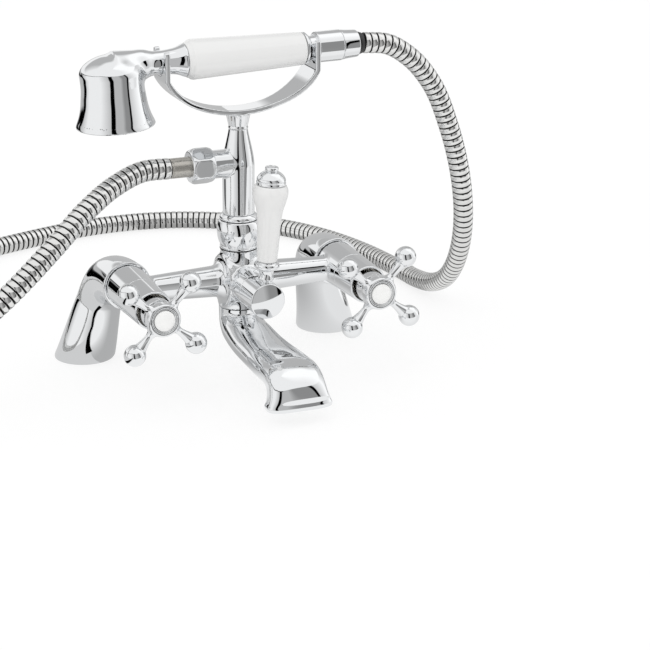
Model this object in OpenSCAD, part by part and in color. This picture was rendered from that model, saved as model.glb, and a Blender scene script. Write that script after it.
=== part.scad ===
// Bath shower mixer on two pillar legs, with a handset, its cradle and a metal hose.
// Millimetres. The origin lies on the deck, midway between the two inlets.
// +X points to the cold side, -Y to the bather and +Z up.

/* [Layout] */
// Distance between the two inlets in the deck
inlet_centres = 180; // [174:1:200]
// Distance between the axes of the two valves
valve_centres = 150; // [144:1:164]
// Height of the valve axes above the deck
valve_height = 64.5; // [60:0.5:76]
// Distance from the inlets forward to the axis of the bridge
bridge_reach = 65; // [60:0.5:76]

/* [Legs] */
// Diameter of a leg where it stands on the deck
leg_base_d = 42; // [38:0.5:48]
// Diameter of a leg at its slimmest
leg_waist_d = 31; // [29:0.5:34]
// Diameter of a leg's head, where the valve barrel meets it
leg_head_d = 32.4; // [31.6:0.2:36]
// Diameter of the water way through a leg
leg_way_d = 17; // [14:0.5:19]
// Minor diameter of the G 3/4 thread in the foot of a leg
inlet_thread_d = 24.12; // [22:0.02:25]
// Depth of the thread in the foot of a leg
inlet_thread_depth = 15; // [12:0.5:18]
// Thickness of the rubber gasket let into the foot of a leg
gasket_t = 1.6; // [1.2:0.1:2.5]

/* [Valves] */
// Diameter of a valve barrel at the leg
barrel_d = 29.6; // [28:0.2:31]
// Diameter of a shroud at its open front rim
shroud_rim_d = 25.6; // [25:0.2:27]
// Length of a valve barrel in front of the bridge axis
barrel_front = 19; // [17:0.5:22]
// Length of a valve barrel behind the bridge axis
barrel_back = 9.2; // [9:0.1:12]
// Length of a shroud
shroud_len = 26; // [23:0.5:30]
// Wall of a shroud at its rim
shroud_wall = 1.3; // [1:0.1:1.8]
// Diameter of a cartridge's thread in the barrel
cartridge_d = 20.9; // [20:0.1:22]
// Diameter of a valve spindle
spindle_d = 8.4; // [7.6:0.1:9]
// Thickness of each ceramic disc
disc_t = 2.6; // [2:0.1:3.2]
// Running clearance of a spindle in its housing
running_gap = 0.05; // [0.02:0.01:0.09]

/* [Cross handles] */
// Length of a hub from its skirt to its front face
hub_len = 24.5; // [23:0.5:27]
// Diameter of a hub at its front
hub_d = 22.2; // [21:0.2:24]
// Distance from the hub's axis to the centre of a ball
arm_reach = 29.2; // [27:0.2:32]
// Diameter of the ball at the end of an arm
ball_d = 14.2; // [13:0.2:16]
// Diameter of an arm at its neck
arm_neck_d = 4.8; // [4:0.2:6.5]
// Diameter of the white index disc
index_d = 13.8; // [12:0.2:14.6]
// Turn of both cross handles from an upright X
cross_turn = 4.7; // [0:0.1:10]

/* [Bridge and body] */
// Diameter of the bridge bar at the valve barrels
bar_end_d = 16.8; // [15:0.2:18]
// Diameter of the bridge bar beside the body
bar_root_d = 20.8; // [19:0.2:22]
// Diameter of the body below the bridge, where the spout is fixed
body_foot_d = 27; // [26:0.2:29]
// Diameter of the body's neck under the union nut
body_neck_d = 24.8; // [24:0.2:26]
// Drop from the valve axes to the body's lower face
body_drop = 18.5; // [17.5:0.5:21]
// Rise from the valve axes to the top of the body's neck
neck_rise = 22; // [20:0.5:25]
// Diameter of the water ways inside the body
way_d = 11; // [9:0.5:12]

/* [Diverter] */
// Diameter of the diverter barrel and of its turning cap
diverter_d = 23.6; // [22.4:0.2:25]
// Distance from the bridge axis to the front face of the cap
diverter_reach = 54.6; // [52:0.2:58]
// Length of the turning cap
cap_len = 22.3; // [20:0.1:24]
// Height of the lever above the valve axes
lever_len = 93.5; // [84:0.5:98]
// Greatest diameter of the lever's ceramic grip
lever_grip_d = 22.2; // [19:0.2:23]
// Lean of the lever towards the cold side
lever_lean = 3.2; // [0:0.1:5]

/* [Spout] */
// Distance from the bridge axis forward to the widest part of the nozzle's mouth
spout_reach = 107.5; // [96:0.5:118]
// Height of the nozzle's lip above the deck
spout_lip_z = 10.8; // [6:0.2:14]
// Width of the nozzle's lip
lip_w = 44.8; // [42:0.2:48]
// Length of the nozzle's lip in front of its widest part
lip_front = 8.3; // [7.5:0.1:10]
// Length of the nozzle's lip behind its widest part
lip_back = 12.8; // [12:0.1:15]
// Wall of the nozzle at its mouth
lip_wall = 2.8; // [2.4:0.1:3]
// Diameter of the flow straightener
straightener_d = 15.6; // [13:0.2:16]

/* [Riser] */
// Greatest diameter of the union nut
union_nut_d = 29; // [28:0.2:32]
// Height of the union nut
union_nut_h = 19.6; // [18:0.2:22]
// Diameter of the ring above the union nut
union_ring_d = 25.6; // [24:0.2:28]
// Height of the ring above the union nut
union_ring_h = 4.2; // [3:0.1:6]
// Diameter of the riser
riser_d = 21.2; // [20.4:0.2:22.4]
// Diameter of the riser at its top
riser_top_d = 12.6; // [12:0.2:14]
// Height of the hose outlet above the riser's shoulder
outlet_rise = 34.5; // [32:0.5:42]
// Height of the riser's taper above the hose outlet
taper_rise = 23; // [21:0.5:30]
// Diameter of the hose outlet branch
outlet_d = 18.6; // [17.6:0.2:19.6]
// Length of the hose outlet branch from the riser's axis
outlet_len = 18.8; // [17:0.2:22]

/* [Cradle] */
// Half the span of the cradle between its two forks
fork_reach = 51.8; // [51.4:0.1:52.1]
// Drop from the handset's axis to the underside of the strap
cradle_drop = 38.5; // [36:0.5:44]
// Thickness of the strap and of the forks
strap_t = 3.4; // [3:0.1:3.6]
// Width of the strap in the middle
strap_w = 16.6; // [15:0.2:18]
// Width of a fork over its two prongs
fork_w = 25.2; // [24.4:0.2:27]
// Height of the cone under the strap
cone_h = 10.2; // [9:0.2:12]
// Diameter of the cone where it meets the strap
cone_d = 16.6; // [15.6:0.2:17]

/* [Handset] */
// Diameter of the handset's neck in the forks
neck_d = 15.4; // [14.6:0.2:15.8]
// Length of the ceramic grip
grip_len = 82; // [81:0.1:82.4]
// Diameter of the grip at the rose end
grip_d = 26.2; // [24:0.2:28]
// Diameter of the grip at the hose end
grip_tail_d = 21.4; // [21:0.2:23]
// Distance from the riser's axis to the axis of the rose
rose_reach = 84.3; // [83:0.5:90]
// Diameter of the rose at its rim
rose_d = 51.2; // [48:0.5:56]
// Diameter of the rose at its shoulder
rose_shoulder_d = 41.2; // [38:0.5:43]
// Depth of the rose from its rim to the top of its dome
rose_h = 46; // [45:0.5:49]
// Tilt of the rose's face
rose_tilt = 2.4; // [0:0.1:4]
// Tilt of the handset along its length
handset_tilt = 1.1; // [0:0.1:1.6]
// Diameter of the tail behind the cradle
tail_d = 20.4; // [19:0.2:21]
// Length of the tail behind the cradle
tail_len = 17.9; // [16:0.1:20]
// Length of the conical hose nut
cone_nut_len = 11.9; // [10:0.1:14]
// Rings of spray holes in the face plate
spray_rings = 3; // [2:1:4]

/* [Hose] */
// Outer diameter of the ribbed metal hose
hose_d = 14; // [12:0.5:14]
// Width of the hexagonal hose nut across its flats
hose_nut_af = 21.6; // [20.6:0.2:24]
// Length of the hexagonal hose nut
hose_nut_len = 15.8; // [14:0.2:18]
// Diameter of the satin ferrule
ferrule_d = 13.3; // [12.6:0.1:13.9]

/* [Hidden] */

// Fits
seat_gap = 0.1;
face_gap = 0.05;
free_gap = 0.3;
turn_fn = 96;

// Stations forward of the inlets, along the valve axes
valve_x = valve_centres / 2;
inlet_x = inlet_centres / 2;
seal_ring_t = 1.2;
barrel_s = bridge_reach - barrel_back;
leg_face_s = barrel_s - seal_ring_t;
shroud_s = bridge_reach + barrel_front;
rim_s = shroud_s + shroud_len;
skirt_depth = 2.5;
hub_s = rim_s - skirt_depth;
hub_face_s = hub_s + hub_len;
arm_s = hub_face_s - 5;

// Inside a cartridge, from its seal forward
cartridge_r = cartridge_d / 2;
seal_s = barrel_s + 3.5;
seal_t = 2;
fixed_disc_s = seal_s + seal_t;
moving_disc_s = fixed_disc_s + disc_t + face_gap;
spindle_foot_s = moving_disc_s + disc_t + face_gap;
spindle_foot_t = 4;
spindle_r = spindle_d / 2;
gland_s = shroud_s + 14;
spline_s = hub_s + 12;
screw_head_s = hub_s + 16;
index_pocket_s = hub_face_s - 5.5;

// Heights of the body and of the riser
body_foot_z = valve_height - body_drop;
neck_z = valve_height + neck_rise;
nut_top_z = neck_z + union_nut_h;
ring_z = nut_top_z + face_gap;
shoulder_z = ring_z + union_ring_h;
outlet_z = shoulder_z + outlet_rise;
riser_top_z = outlet_z + taper_rise;
strap_z = riser_top_z + cone_h;
handset_z = strap_z + cradle_drop;

// Stations of the handset along its own axis, from the riser's axis
grip_tail_x = fork_reach - strap_t / 2 - 4.6;
grip_head_x = grip_tail_x - grip_len;
tail_x = fork_reach + strap_t / 2 + free_gap;
cone_nut_x = tail_x + tail_len + seat_gap;
hose_end_x = cone_nut_x + cone_nut_len;
hose_start_x = hose_end_x + 4;
// Where the loose hose leaves the handset
hose_tip = [hose_start_x * cos(handset_tilt) + hose_d / 2 * sin(handset_tilt) + 0.1, -bridge_reach,
    handset_z + hose_start_x * sin(handset_tilt)];

// The loose hose: points chosen by hand, from the ferrule towards the handset
hose_route = [[-48, -65, 145], [-66, -66, 145], [-87, -72, 139], [-109, -82, 128], [-134, -94, 110],
    [-173, -106, 81], [-214, -108, 53], [-242, -101, 36], [-269, -88, 22], [-294, -68, 12],
    [-315, -42, 8], [-331, -5, 7], [-337, 36, 7], [-331, 77, 7], [-314, 114, 7], [-288, 146, 7],
    [-255, 174, 7], [-210, 200, 7], [-163, 219, 7], [-117, 236, 7], [-71, 254, 7], [-23, 270, 7],
    [14, 276, 7], [53, 274, 7], [91, 261, 7], [122, 240, 7], [147, 212, 7], [165, 178, 7],
    [177, 139, 7], [184, 97, 7], [187, 60, 7], [187, 28, 12], [185, -2, 25], [181, -29, 50],
    [175, -48, 84], [167, -57, 119], [156, -60, 154], [141, -62, 186], [123, -64, 206],
    [106, -65, 216]];

// ---- helpers ----

function mix(a, b, t) = a + (b - a) * t;
function ease(t) = let (u = min(1, max(0, t))) u * u * (3 - 2 * u);
function bezier(p, t) = p[0] * pow(1 - t, 3) + p[1] * 3 * t * pow(1 - t, 2)
    + p[2] * 3 * t * t * (1 - t) + p[3] * pow(t, 3);
function unit(v) = v / norm(v);
function arc(c, r, a0, a1, n) = [for (i = [0:n]) let (a = mix(a0, a1, i / n)) c + r * [cos(a), sin(a)]];
function squircle(a, k) = sign(a) * pow(abs(a), k);

// A closed skin over rings of points that all have the same count
module loft(rings) {
    n = len(rings[0]);
    m = len(rings);
    polyhedron([for (r = rings) each r],
        concat([[for (i = [0:n - 1]) i]],
            [for (k = [0:m - 2]) for (i = [0:n - 1]) for (half = [0, 1])
                let (a = k * n + i, b = k * n + (i + 1) % n, c = a + n, d = b + n)
                half == 0 ? [a, c, d] : [a, d, b]],
            [[for (i = [0:n - 1]) m * n - 1 - i]]), convexity = 6);
}

// A turned solid about local Z: points are [radius, height]
module turned(points) {
    rotate_extrude($fn = turn_fn) polygon(points);
}

module ring(outer_r, inner_r, h) {
    difference() {
        cylinder(r = outer_r, h = h, $fn = turn_fn);
        translate([0, 0, -1]) cylinder(r = inner_r, h = h + 2, $fn = turn_fn);
    }
}

// Places children so that local +Z runs forward along a valve axis
module valve_axis(x) {
    translate([x, 0, valve_height]) rotate([90, 0, 0]) children();
}

module forward(s) {
    translate([0, 0, s]) children();
}

module riser_axis(z) {
    translate([0, -bridge_reach, z]) children();
}

// Places children on the handset's axis: local X runs from the rose to the hose
module handset_axis() {
    translate([0, -bridge_reach, handset_z]) rotate([0, -handset_tilt, 0]) children();
}

// Turns local +Z into +X
module along_x(x) {
    translate([x, 0, 0]) rotate([0, 90, 0]) children();
}

// ---- legs ----

// The hot side's leg, and its mirror image on the cold side
module leg(side) {
    mirror([side > 0 ? 1 : 0, 0, 0]) hot_side_leg();
}

module hot_side_leg() {
    base = [-inlet_x, 0, 0];
    head = [-valve_x, -leg_face_s + lip_t / 2, valve_height];
    path = [base, base + [6, -12, 0.48 * valve_height], head + [0, 1.1 * leg_face_s, 0], head];
    head_r = leg_head_d / 2;
    stops = concat([0, 0.008, 0.025], [for (k = [1:14]) k / 14]);
    difference() {
        union() {
            loft([for (t = stops) leg_ring(path, t, 32)]);
            valve_axis(-valve_x) forward(leg_face_s - lip_t)
                turned([[0, 0], [head_r - 0.8, 0], [head_r + 0.4, 1], [head_r + 0.4, lip_t - 0.6],
                    [head_r - 0.2, lip_t], [0, lip_t]]);
        }
        translate(base - [0, 0, 1]) cylinder(r = inlet_thread_d / 2, h = inlet_thread_depth + 1, $fn = turn_fn);
        translate(base - [0, 0, 1]) ring(gasket_r() + seat_gap, gasket_r() - 3 - seat_gap, gasket_t + 1);
        leg_way(path);
        valve_axis(-valve_x) forward(leg_face_s - leg_union_len)
            cylinder(r = leg_union_r() + seat_gap, h = leg_union_len + 1, $fn = turn_fn);
    }
}

lip_t = 3.2;
leg_union_len = 12;

function gasket_r() = leg_base_d / 2 - 1.2;
function leg_union_r() = leg_way_d / 2 + 2;

function leg_radius(t) = t < 0.5
    ? mix(leg_waist_d, leg_base_d, pow(1 - 2 * t, 1.15)) / 2
    : mix(leg_waist_d, leg_head_d, ease(2 * t - 1)) / 2;

function leg_ring(path, t, sides) =
    let (c = bezier(path, t), d = bezier(path, t + 0.01) - bezier(path, t - 0.01),
        a = atan2(-d[1], d[2]) * ease(t / 0.35), r = leg_radius(t) - 0.7 * pow(1 - min(1, 40 * t), 2))
    [for (i = [0:sides - 1]) let (w = 360 * i / sides)
        c + r * [cos(w), sin(w) * cos(a), sin(w) * sin(a)]];

// The cored water way follows the leg's centre line from the inlet to the head
module leg_way(path) {
    stops = [0.16, 0.5, 0.67, 0.83, 1];
    for (k = [0:len(stops) - 2]) {
        a = bezier(path, stops[k]);
        b = bezier(path, stops[k + 1]);
        d = unit(b - a);
        translate(a - 2.5 * d) rotate([0, acos(d[2]), atan2(d[1], d[0])])
            cylinder(r = leg_way_d / 2 - 0.2 * k, h = norm(b - a) + 5, $fn = turn_fn);
    }
}

module hot_leg() { color("silver") leg(-1); }
module cold_leg() { color("silver") leg(1); }

module foot_gaskets() {
    color("dimgray") for (side = [-1, 1])
        translate([side * inlet_x, 0, 0]) ring(gasket_r(), gasket_r() - 3, gasket_t);
}

module leg_unions() {
    color("goldenrod") for (side = [-1, 1]) valve_axis(side * valve_x)
        forward(leg_face_s - leg_union_len + seat_gap)
            ring(leg_union_r(), leg_way_d / 2 - 1, leg_union_len + seal_ring_t + 3);
}

module leg_seal_rings() {
    color("black") for (side = [-1, 1]) valve_axis(side * valve_x) forward(leg_face_s)
        ring(barrel_d / 2 - 0.6, leg_union_r() + seat_gap, seal_ring_t);
}

// ---- body ----

module mixer_body() {
    color("silver") difference() {
        union() {
            body_core();
            for (side = [-1, 1]) {
                riser_axis(valve_height) mirror([side < 0 ? 1 : 0, 0, 0]) along_x(0) bridge_bar();
                valve_axis(side * valve_x) valve_barrel();
            }
            valve_axis(0) forward(bridge_reach)
                cylinder(r = diverter_d / 2, h = diverter_reach - cap_len - free_gap, $fn = turn_fn);
        }
        body_ways();
    }
}

module body_core() {
    foot_r = body_foot_d / 2;
    neck_r = body_neck_d / 2;
    belly_r = foot_r + 1.2;
    riser_axis(body_foot_z) {
        turned([[0, 0], [foot_r - 0.4, 0], [foot_r, 0.6], [foot_r + 0.4, body_drop * 0.35],
            [belly_r, body_drop * 0.7], [belly_r, body_drop + 3], [belly_r - 0.9, body_drop + 8],
            [neck_r + 0.3, body_drop + neck_rise * 0.62], [neck_r, body_drop + neck_rise * 0.8],
            [neck_r, body_drop + neck_rise], [0, body_drop + neck_rise]]);
        cylinder(r = union_thread_r(), h = body_drop + neck_rise + 7.5, $fn = turn_fn);
    }
}

function union_thread_r() = body_neck_d / 2 - 2;

// Half of the bridge, from the body's axis to a valve's axis
module bridge_bar() {
    root_r = bar_root_d / 2;
    end_r = bar_end_d / 2;
    flare = 7;
    fillet_x = body_foot_d / 2 + flare - 1;
    turned(concat([[0, 0], [root_r + flare, 0]], arc([root_r + flare, fillet_x], flare, 270, 180, 6),
        [[end_r, valve_x - barrel_d / 2 + 3], [end_r, valve_x], [0, valve_x]]));
}

module valve_barrel() {
    r0 = barrel_d / 2;
    r1 = mix(barrel_d, shroud_rim_d, (shroud_s - barrel_s) / (rim_s - barrel_s)) / 2;
    turned([[0, barrel_s], [r0 - 0.5, barrel_s], [r0, barrel_s + 0.5], [r1, shroud_s], [0, shroud_s]]);
}

// Water ways and sockets cored or bored in the body
module body_ways() {
    for (side = [-1, 1]) valve_axis(side * valve_x) {
        forward(seal_s) cylinder(r = cartridge_r + seat_gap, h = 100, $fn = turn_fn);
        forward(barrel_s - 1) cylinder(r = leg_union_r() + seat_gap, h = 4.1, $fn = turn_fn);
        forward(barrel_s) cylinder(r = leg_way_d / 2 - 1, h = 8, $fn = turn_fn);
    }
    riser_axis(valve_height) along_x(-valve_x) cylinder(r = way_d / 2, h = valve_centres, $fn = 64);
    riser_axis(body_foot_z - 1) cylinder(r = spout_nipple_r() + seat_gap, h = 10, $fn = turn_fn);
    riser_axis(body_foot_z - 1) cylinder(r = way_d / 2 + 1, h = body_drop + neck_rise + 20, $fn = turn_fn);
    valve_axis(0) forward(diverter_seal_s)
        cylinder(r = diverter_cartridge_r + seat_gap, h = 100, $fn = turn_fn);
}

module shroud(side) {
    rim_r = shroud_rim_d / 2;
    back_r = mix(barrel_d, shroud_rim_d, (shroud_s + seat_gap - barrel_s) / (rim_s - barrel_s)) / 2;
    valve_axis(side * valve_x) forward(shroud_s + seat_gap)
        turned([[cartridge_flange_r() + seat_gap, 0], [back_r, 0], [rim_r + 0.2, shroud_len - 2],
            [rim_r, shroud_len - 0.6], [rim_r - 0.5, shroud_len], [rim_r - shroud_wall, shroud_len - 0.3],
            [cartridge_flange_r() + seat_gap, shroud_len - 4]]);
}

function cartridge_flange_r() = shroud_rim_d / 2 - shroud_wall - 0.6;

module hot_shroud() { color("silver") shroud(-1); }
module cold_shroud() { color("silver") shroud(1); }

// ---- cartridges ----

module cartridge(side) {
    chamber_r = cartridge_r - 1.8;
    valve_axis(side * valve_x) difference() {
        union() {
            forward(fixed_disc_s) cylinder(r = cartridge_r, h = shroud_s - fixed_disc_s, $fn = turn_fn);
            forward(shroud_s) cylinder(r = cartridge_flange_r(), h = 4, $fn = turn_fn);
            forward(shroud_s + 4) cylinder(r = cartridge_r * 0.92, h = 5, $fn = 6);
            forward(shroud_s + 8.9) cylinder(r = spindle_r + 2.2, h = gland_s - shroud_s - 8.9, $fn = turn_fn);
        }
        forward(fixed_disc_s - 1)
            cylinder(r = chamber_r, h = spindle_foot_s + spindle_foot_t + face_gap - fixed_disc_s + 1,
                $fn = turn_fn);
        forward(fixed_disc_s) cylinder(r = spindle_r + running_gap, h = 60, $fn = turn_fn);
        forward(bridge_reach) rotate([0, 90, 0])
            cylinder(r = 3.2, h = 4 * cartridge_r, center = true, $fn = 48);
    }
}

module hot_cartridge() { color("goldenrod") cartridge(-1); }
module cold_cartridge() { color("goldenrod") cartridge(1); }

// A ceramic disc with two water windows
module ceramic_disc(r) {
    difference() {
        cylinder(r = r, h = disc_t, $fn = turn_fn);
        for (side = [-1, 1]) translate([side * r * 0.5, 0, -1]) cylinder(r = r * 0.26, h = disc_t + 2, $fn = 48);
    }
}

module fixed_discs() {
    color("white") for (side = [-1, 1]) valve_axis(side * valve_x)
        forward(fixed_disc_s) ceramic_disc(cartridge_r - 1.8 - seat_gap);
}

module cartridge_seals() {
    color("black") for (side = [-1, 1]) valve_axis(side * valve_x)
        forward(seal_s) ring(cartridge_r - 0.6, cartridge_r - 3.4, seal_t);
}

module spindle(side) {
    valve_axis(side * valve_x) {
        forward(spindle_foot_s)
            cylinder(r = cartridge_r - 1.8 - free_gap, h = spindle_foot_t, $fn = turn_fn);
        difference() {
            forward(spindle_foot_s) cylinder(r = spindle_r, h = spline_s - seat_gap - spindle_foot_s, $fn = turn_fn);
            forward(spline_s - 9) cylinder(r = screw_r, h = 20, $fn = 48);
        }
    }
}

screw_r = 2;

module moving_disc(side) {
    valve_axis(side * valve_x) forward(moving_disc_s) ceramic_disc(cartridge_r - 1.8 - free_gap);
}

module hot_spindle() { color("goldenrod") spindle(-1); }
module cold_spindle() { color("goldenrod") spindle(1); }
module hot_moving_disc() { color("whitesmoke") moving_disc(-1); }
module cold_moving_disc() { color("whitesmoke") moving_disc(1); }

// ---- cross handles ----

module cross_handle(side) {
    hub_r = hub_d / 2;
    skirt_r = shroud_rim_d / 2 - shroud_wall - 1.6;
    valve_axis(side * valve_x) difference() {
        union() {
            turned([[0, hub_s], [skirt_r - 0.5, hub_s], [skirt_r, hub_s + 0.5], [skirt_r, hub_s + 4],
                [skirt_r + 0.5, hub_s + 6], [hub_r - 0.7, hub_s + 13], [hub_r, hub_s + 18],
                [hub_r, hub_face_s - 1.6], [hub_r - 0.5, hub_face_s - 0.5], [hub_r - 1.2, hub_face_s],
                [0, hub_face_s]]);
            forward(arm_s) for (k = [0:3]) rotate([0, 90, 45 + cross_turn + 90 * k]) cross_arm();
        }
        forward(hub_s - 1) cylinder(r = spindle_r + seat_gap, h = spline_s - hub_s + 1, $fn = turn_fn);
        forward(hub_s) cylinder(r = screw_r + seat_gap, h = 20, $fn = 48);
        forward(screw_head_s) cylinder(r = 3.9, h = 20, $fn = 64);
        forward(index_pocket_s) cylinder(r = bezel_r + seat_gap, h = 20, $fn = turn_fn);
    }
}

bezel_r = hub_d / 2 - 2;

// A bowling-pin arm that swells out of the hub and into its ball
module cross_arm() {
    neck_r = arm_neck_d / 2;
    ball_r = ball_d / 2;
    hub_r = hub_d / 2;
    join_a = 145;
    join = [ball_r * sin(join_a), arm_reach + ball_r * cos(join_a)];
    neck_x = hub_r + 3;
    steps = 7;
    turned(concat([[0, hub_r - 2.2], [neck_r + 1.6, hub_r - 2.2], [neck_r + 0.7, hub_r + 0.6]],
        [for (k = [0:steps]) let (t = k / steps)
            [mix(neck_r, join[0], pow(t, 1.7)), mix(neck_x, join[1], t)]],
        [for (a = [join_a - 15:-13:2]) [ball_r * sin(a), arm_reach + ball_r * cos(a)]],
        [[0, arm_reach + ball_r]]));
}

module bezel(side) {
    valve_axis(side * valve_x) forward(index_pocket_s)
        turned([[index_d / 2 + 0.15, 1.2], [index_d / 2 + 0.15, 5.2], [index_d / 2 + 0.6, 5.8],
            [bezel_r - 0.6, 5.6], [bezel_r, 5], [bezel_r, 0], [3, 0], [3, 1.2]]);
}

module index_disc(side) {
    r = index_d / 2;
    valve_axis(side * valve_x) forward(index_pocket_s + 1.2)
        turned([[0, 0], [r, 0], [r, 4.3], [r - 0.5, 5.1], [r - 1.6, 5.6], [r * 0.5, 6], [0, 6.1]]);
}

module handle_screw(side) {
    valve_axis(side * valve_x) difference() {
        union() {
            forward(screw_head_s + face_gap) cylinder(r = 3.6, h = 2.4, $fn = 64);
            forward(spline_s - 6) cylinder(r = screw_r - seat_gap, h = screw_head_s - spline_s + 6.2, $fn = 48);
        }
        forward(screw_head_s + 1.2) translate([-5, -0.5, 0]) cube([10, 1, 5]);
    }
}

module hot_cross_handle() { color("silver") cross_handle(-1); }
module cold_cross_handle() { color("silver") cross_handle(1); }
module hot_bezel() { color("lightgray") bezel(-1); }
module cold_bezel() { color("lightgray") bezel(1); }
module hot_index() { color("white") index_disc(-1); }
module cold_index() { color("white") index_disc(1); }
module hot_handle_screw() { color("gray") handle_screw(-1); }
module cold_handle_screw() { color("gray") handle_screw(1); }

// ---- diverter ----

diverter_cartridge_r = 8.4;
diverter_seal_s = bridge_reach - 7;
diverter_disc_s = diverter_seal_s + 1.6;
diverter_turn_s = diverter_disc_s + disc_t + face_gap;
diverter_foot_s = diverter_turn_s + disc_t + face_gap;
diverter_end_s = bridge_reach + diverter_reach - cap_len - free_gap;
cap_s = diverter_end_s + free_gap;
cap_face_s = bridge_reach + diverter_reach;
diverter_pin_r = 4;
lever_s = cap_face_s - 6.6;
cap_socket = 9;

module diverter_cartridge() {
    color("goldenrod") valve_axis(0) difference() {
        forward(diverter_disc_s)
            cylinder(r = diverter_cartridge_r, h = diverter_end_s - diverter_disc_s, $fn = turn_fn);
        forward(diverter_disc_s - 1)
            cylinder(r = diverter_cartridge_r - 1.6, h = diverter_foot_s + 3 + face_gap - diverter_disc_s + 1,
                $fn = turn_fn);
        forward(diverter_disc_s) cylinder(r = diverter_pin_r + running_gap, h = 80, $fn = turn_fn);
        forward(bridge_reach + 1) rotate([90, 0, 0])
            cylinder(r = 3, h = 4 * diverter_cartridge_r, center = true, $fn = 48);
    }
}

module diverter_fixed_disc() {
    color("white") valve_axis(0) forward(diverter_disc_s)
        ceramic_disc(diverter_cartridge_r - 1.6 - seat_gap);
}

module diverter_moving_disc() {
    color("whitesmoke") valve_axis(0) forward(diverter_turn_s)
        ceramic_disc(diverter_cartridge_r - 1.6 - free_gap);
}

module diverter_seal() {
    color("black") valve_axis(0) forward(diverter_seal_s)
        ring(diverter_cartridge_r - 0.4, diverter_cartridge_r - 3, 1.6);
}

module diverter_spindle() {
    color("goldenrod") valve_axis(0) {
        forward(diverter_foot_s) cylinder(r = diverter_cartridge_r - 1.6 - free_gap, h = 3, $fn = turn_fn);
        forward(diverter_foot_s)
            cylinder(r = diverter_pin_r, h = cap_s + cap_socket - seat_gap - diverter_foot_s, $fn = turn_fn);
    }
}

module diverter_cap() {
    r = diverter_d / 2;
    color("silver") valve_axis(0) difference() {
        forward(cap_s)
            turned([[0, 0], [r - 0.4, 0], [r, 0.4], [r, cap_len - 0.6], [r - 0.6, cap_len], [0, cap_len]]);
        forward(cap_s - 1) cylinder(r = diverter_pin_r + seat_gap, h = cap_socket + 1, $fn = turn_fn);
        lever_axis(0) cylinder(r = lever_screw_r + seat_gap, h = 40, $fn = 48);
    }
}

lever_screw_r = 2.5;
stem_base = 11.4;
ferrule_rise = 21;
grip_rise = 24.6;
finial_drop = 14.2;

// Places children so that local +Z runs up the lever from the valve axis, inside valve_axis(0)
module lever_axis(up) {
    forward(lever_s) rotate([0, 0, -lever_lean]) rotate([-90, 0, 0]) translate([0, 0, up]) children();
}

module lever_stem() {
    color("silver") valve_axis(0) lever_axis(0) difference() {
        intersection() {
            turned([[0, stem_base - 3], [4.3, stem_base - 3], [4.3, stem_base + 1.2], [5.1, stem_base + 2.2],
                [4.7, stem_base + 4.4], [4.9, ferrule_rise - 1.2], [6.4, ferrule_rise - 0.6],
                [7.9, ferrule_rise + 0.7], [7.9, ferrule_rise + 2.2], [7.1, grip_rise - 0.3],
                [7.1, grip_rise], [0, grip_rise]]);
            difference() {
                cylinder(r = 20, h = 60);
                rotate([90, 0, 0]) cylinder(r = diverter_d / 2 + seat_gap, h = 40,
                    center = true, $fn = turn_fn);
            }
        }
        translate([0, 0, 8]) cylinder(r = lever_screw_r + seat_gap, h = 40, $fn = 48);
    }
}

module lever_grip() {
    r = lever_grip_d / 2;
    top = lever_len - finial_drop;
    h = top - grip_rise;
    color("white") valve_axis(0) lever_axis(grip_rise) difference() {
        turned([[0, 0], [6.2, 0], [6.6, 0.5], [mix(6.6, r, 0.2), h * 0.24], [mix(6.6, r, 0.48), h * 0.5],
            [mix(6.6, r, 0.78), h * 0.7], [mix(6.6, r, 0.97), h * 0.84], [r, h * 0.89],
            [r - 0.2, h * 0.93], [r - 0.9, h * 0.97], [r - 2.2, h], [0, h]]);
        translate([0, 0, -1]) cylinder(r = lever_screw_r + seat_gap, h = h + 2, $fn = 48);
    }
}

module lever_rod() {
    color("gray") valve_axis(0) lever_axis(diverter_pin_r + seat_gap + 1)
        cylinder(r = lever_screw_r, h = lever_len - finial_drop + 4 - diverter_pin_r - seat_gap - 1, $fn = 48);
}

module lever_finial() {
    color("silver") valve_axis(0) lever_axis(lever_len - finial_drop) difference() {
        turned([[0, 0], [8.6, 0], [9.2, 0.5], [9.2, 2.2], [8.8, 2.7], [9.1, 3.3], [9.0, 4.2], [8.3, 6],
            [6.9, 7.8], [5.2, 9.1], [3.9, 9.7], [3.9, 10.2], [4.3, 10.6], [4.3, 13.4], [3.9, 14],
            [3.2, finial_drop], [0, finial_drop]]);
        translate([0, 0, -1]) cylinder(r = lever_screw_r + seat_gap, h = 5.2, $fn = 48);
    }
}

// ---- spout ----

function spout_nipple_r() = way_d / 2 + 2.4;
spout_top_z = body_foot_z - seat_gap;
mouth_y = -bridge_reach - spout_reach;

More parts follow.
